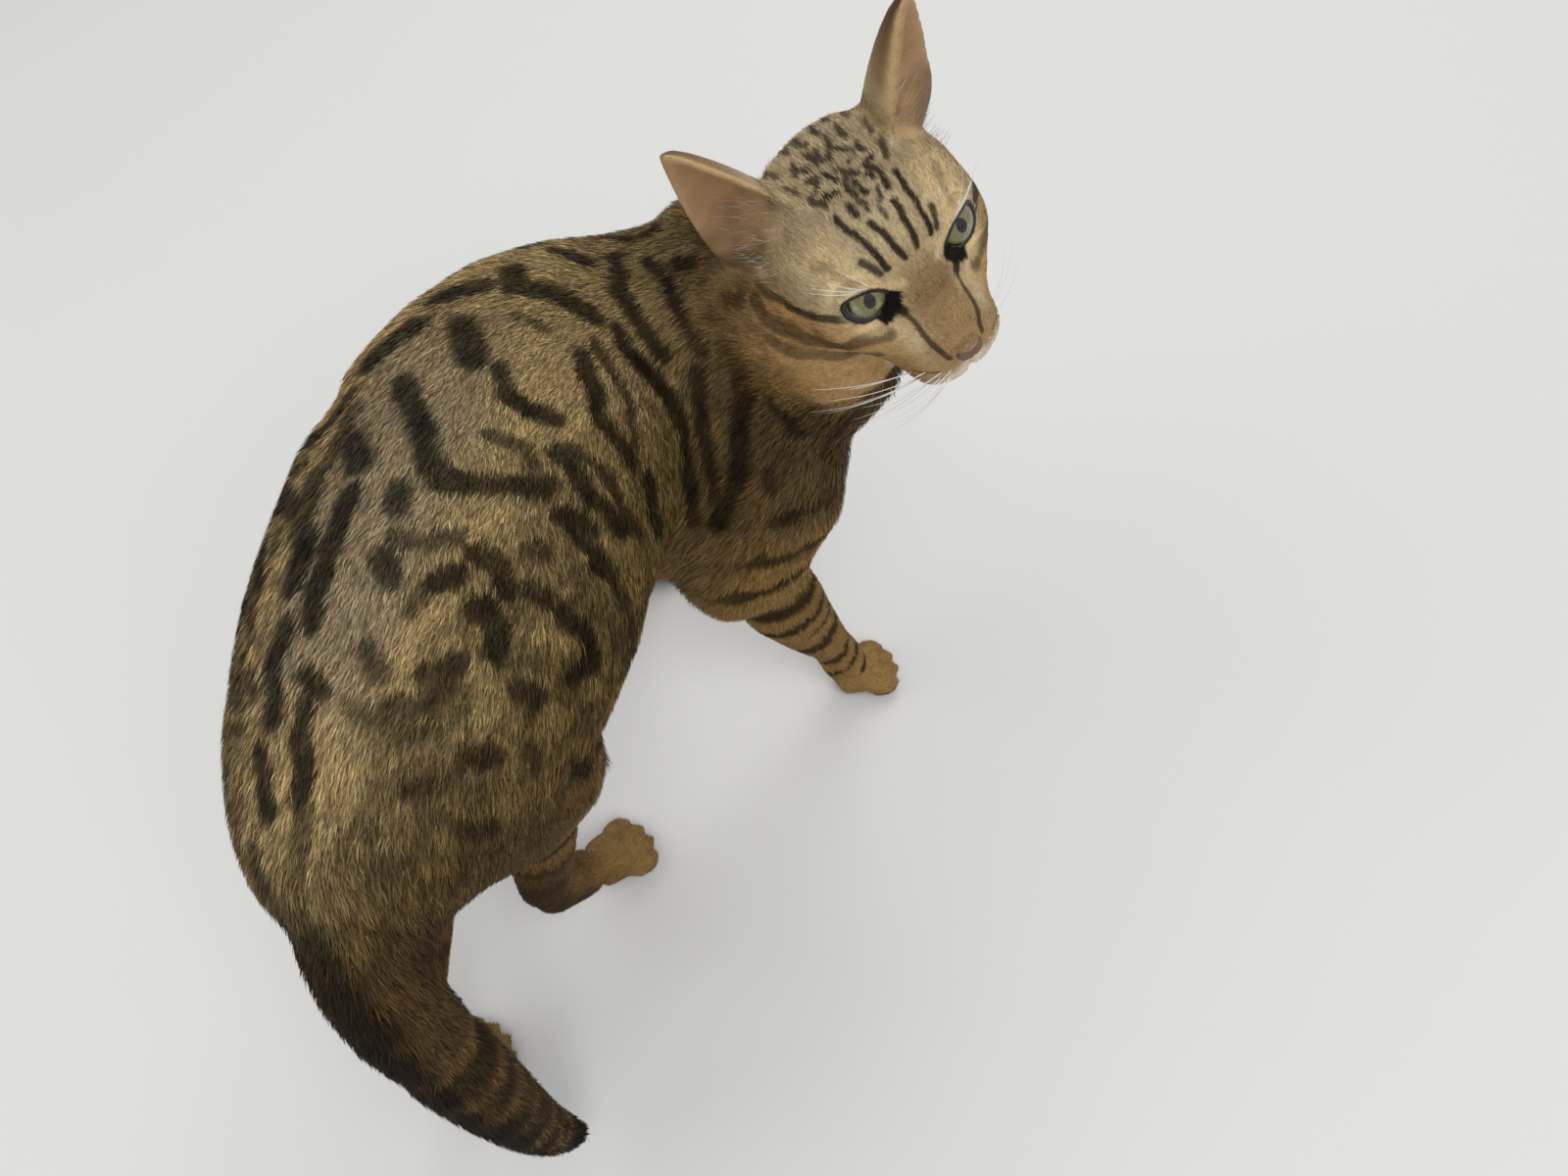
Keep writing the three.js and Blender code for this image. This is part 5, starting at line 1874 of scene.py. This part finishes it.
def view_camera(lens):
    """The camera at VIEW_FROM, looking along VIEW_ALONG and leaning by VIEW_LEAN about that line."""
    along = unit(np.array(VIEW_ALONG))
    level = unit(np.cross(along, SKY))
    upright = np.cross(level, along)
    right = level * math.cos(VIEW_LEAN) - upright * math.sin(VIEW_LEAN)
    up = upright * math.cos(VIEW_LEAN) + level * math.sin(VIEW_LEAN)
    data = bpy.data.cameras.new("camera")
    data.sensor_fit = "HORIZONTAL"
    data.sensor_width = 36.0
    data.lens = lens
    data.clip_start = 0.01
    camera = bpy.data.objects.new("camera", data)
    rows = [[right[k], up[k], -along[k], VIEW_FROM[k]] for k in range(3)]
    camera.matrix_world = mathutils.Matrix([*rows, [0, 0, 0, 1]])
    return camera


class CAT_OT_stage(bpy.types.Operator):
    """Sets the floor, the lamps, the plain background and the camera"""
    bl_idname = "cat.stage"
    bl_label = "Stage"

    def execute(self, context):
        settings = context.scene.cat_stage
        scene = context.scene
        corners = np.array([[-1, -1, 0], [1, -1, 0], [1, 1, 0], [-1, 1, 0]]) * FLOOR_REACH
        floor = mesh_object("floor", corners, [[0, 1, 2, 3]], smooth=False)
        floor.data.materials.append(floor_material(settings.floor))
        for name, place, width, share in LAMPS:
            scene.collection.objects.link(area_lamp(name, place, width, settings.lamp * share))
        scene.world = plain_world()
        scene.camera = view_camera(settings.lens)
        scene.collection.objects.link(scene.camera)
        scene.view_settings.view_transform = "Standard"
        return {"FINISHED"}


OPERATORS = [CAT_OT_skin, CAT_OT_coat, CAT_OT_eyes, CAT_OT_nose, CAT_OT_whiskers, CAT_OT_stage]
SETTINGS = {"cat_coat": CatCoatSettings, "cat_face": CatFaceSettings, "cat_stage": CatStageSettings}


class CAT_PT_panel(bpy.types.Panel):
    """Lists the steps that build the cat, with their settings"""
    bl_idname = "CAT_PT_panel"
    bl_label = "Spotted cat"
    bl_space_type = "VIEW_3D"
    bl_region_type = "UI"
    bl_category = "Cat"

    def draw(self, context):
        for name, kind in SETTINGS.items():
            for key in kind.__annotations__:
                self.layout.prop(getattr(context.scene, name), key)
        for operator in OPERATORS:
            self.layout.operator(operator.bl_idname)


def register():
    """Makes the settings, the operators and the panel known."""
    for kind in [*SETTINGS.values(), *OPERATORS, CAT_PT_panel]:
        bpy.utils.register_class(kind)
    for name, kind in SETTINGS.items():
        setattr(bpy.types.Scene, name, bpy.props.PointerProperty(type=kind))


def unregister():
    """Takes them away again."""
    for name in SETTINGS:
        delattr(bpy.types.Scene, name)
    for kind in reversed([*SETTINGS.values(), *OPERATORS, CAT_PT_panel]):
        bpy.utils.unregister_class(kind)


def main():
    """Builds every piece and the stage."""
    register()
    for operator in OPERATORS:
        group, step = operator.bl_idname.split(".")
        getattr(getattr(bpy.ops, group), step)()


if __name__ == "__main__":
    main()
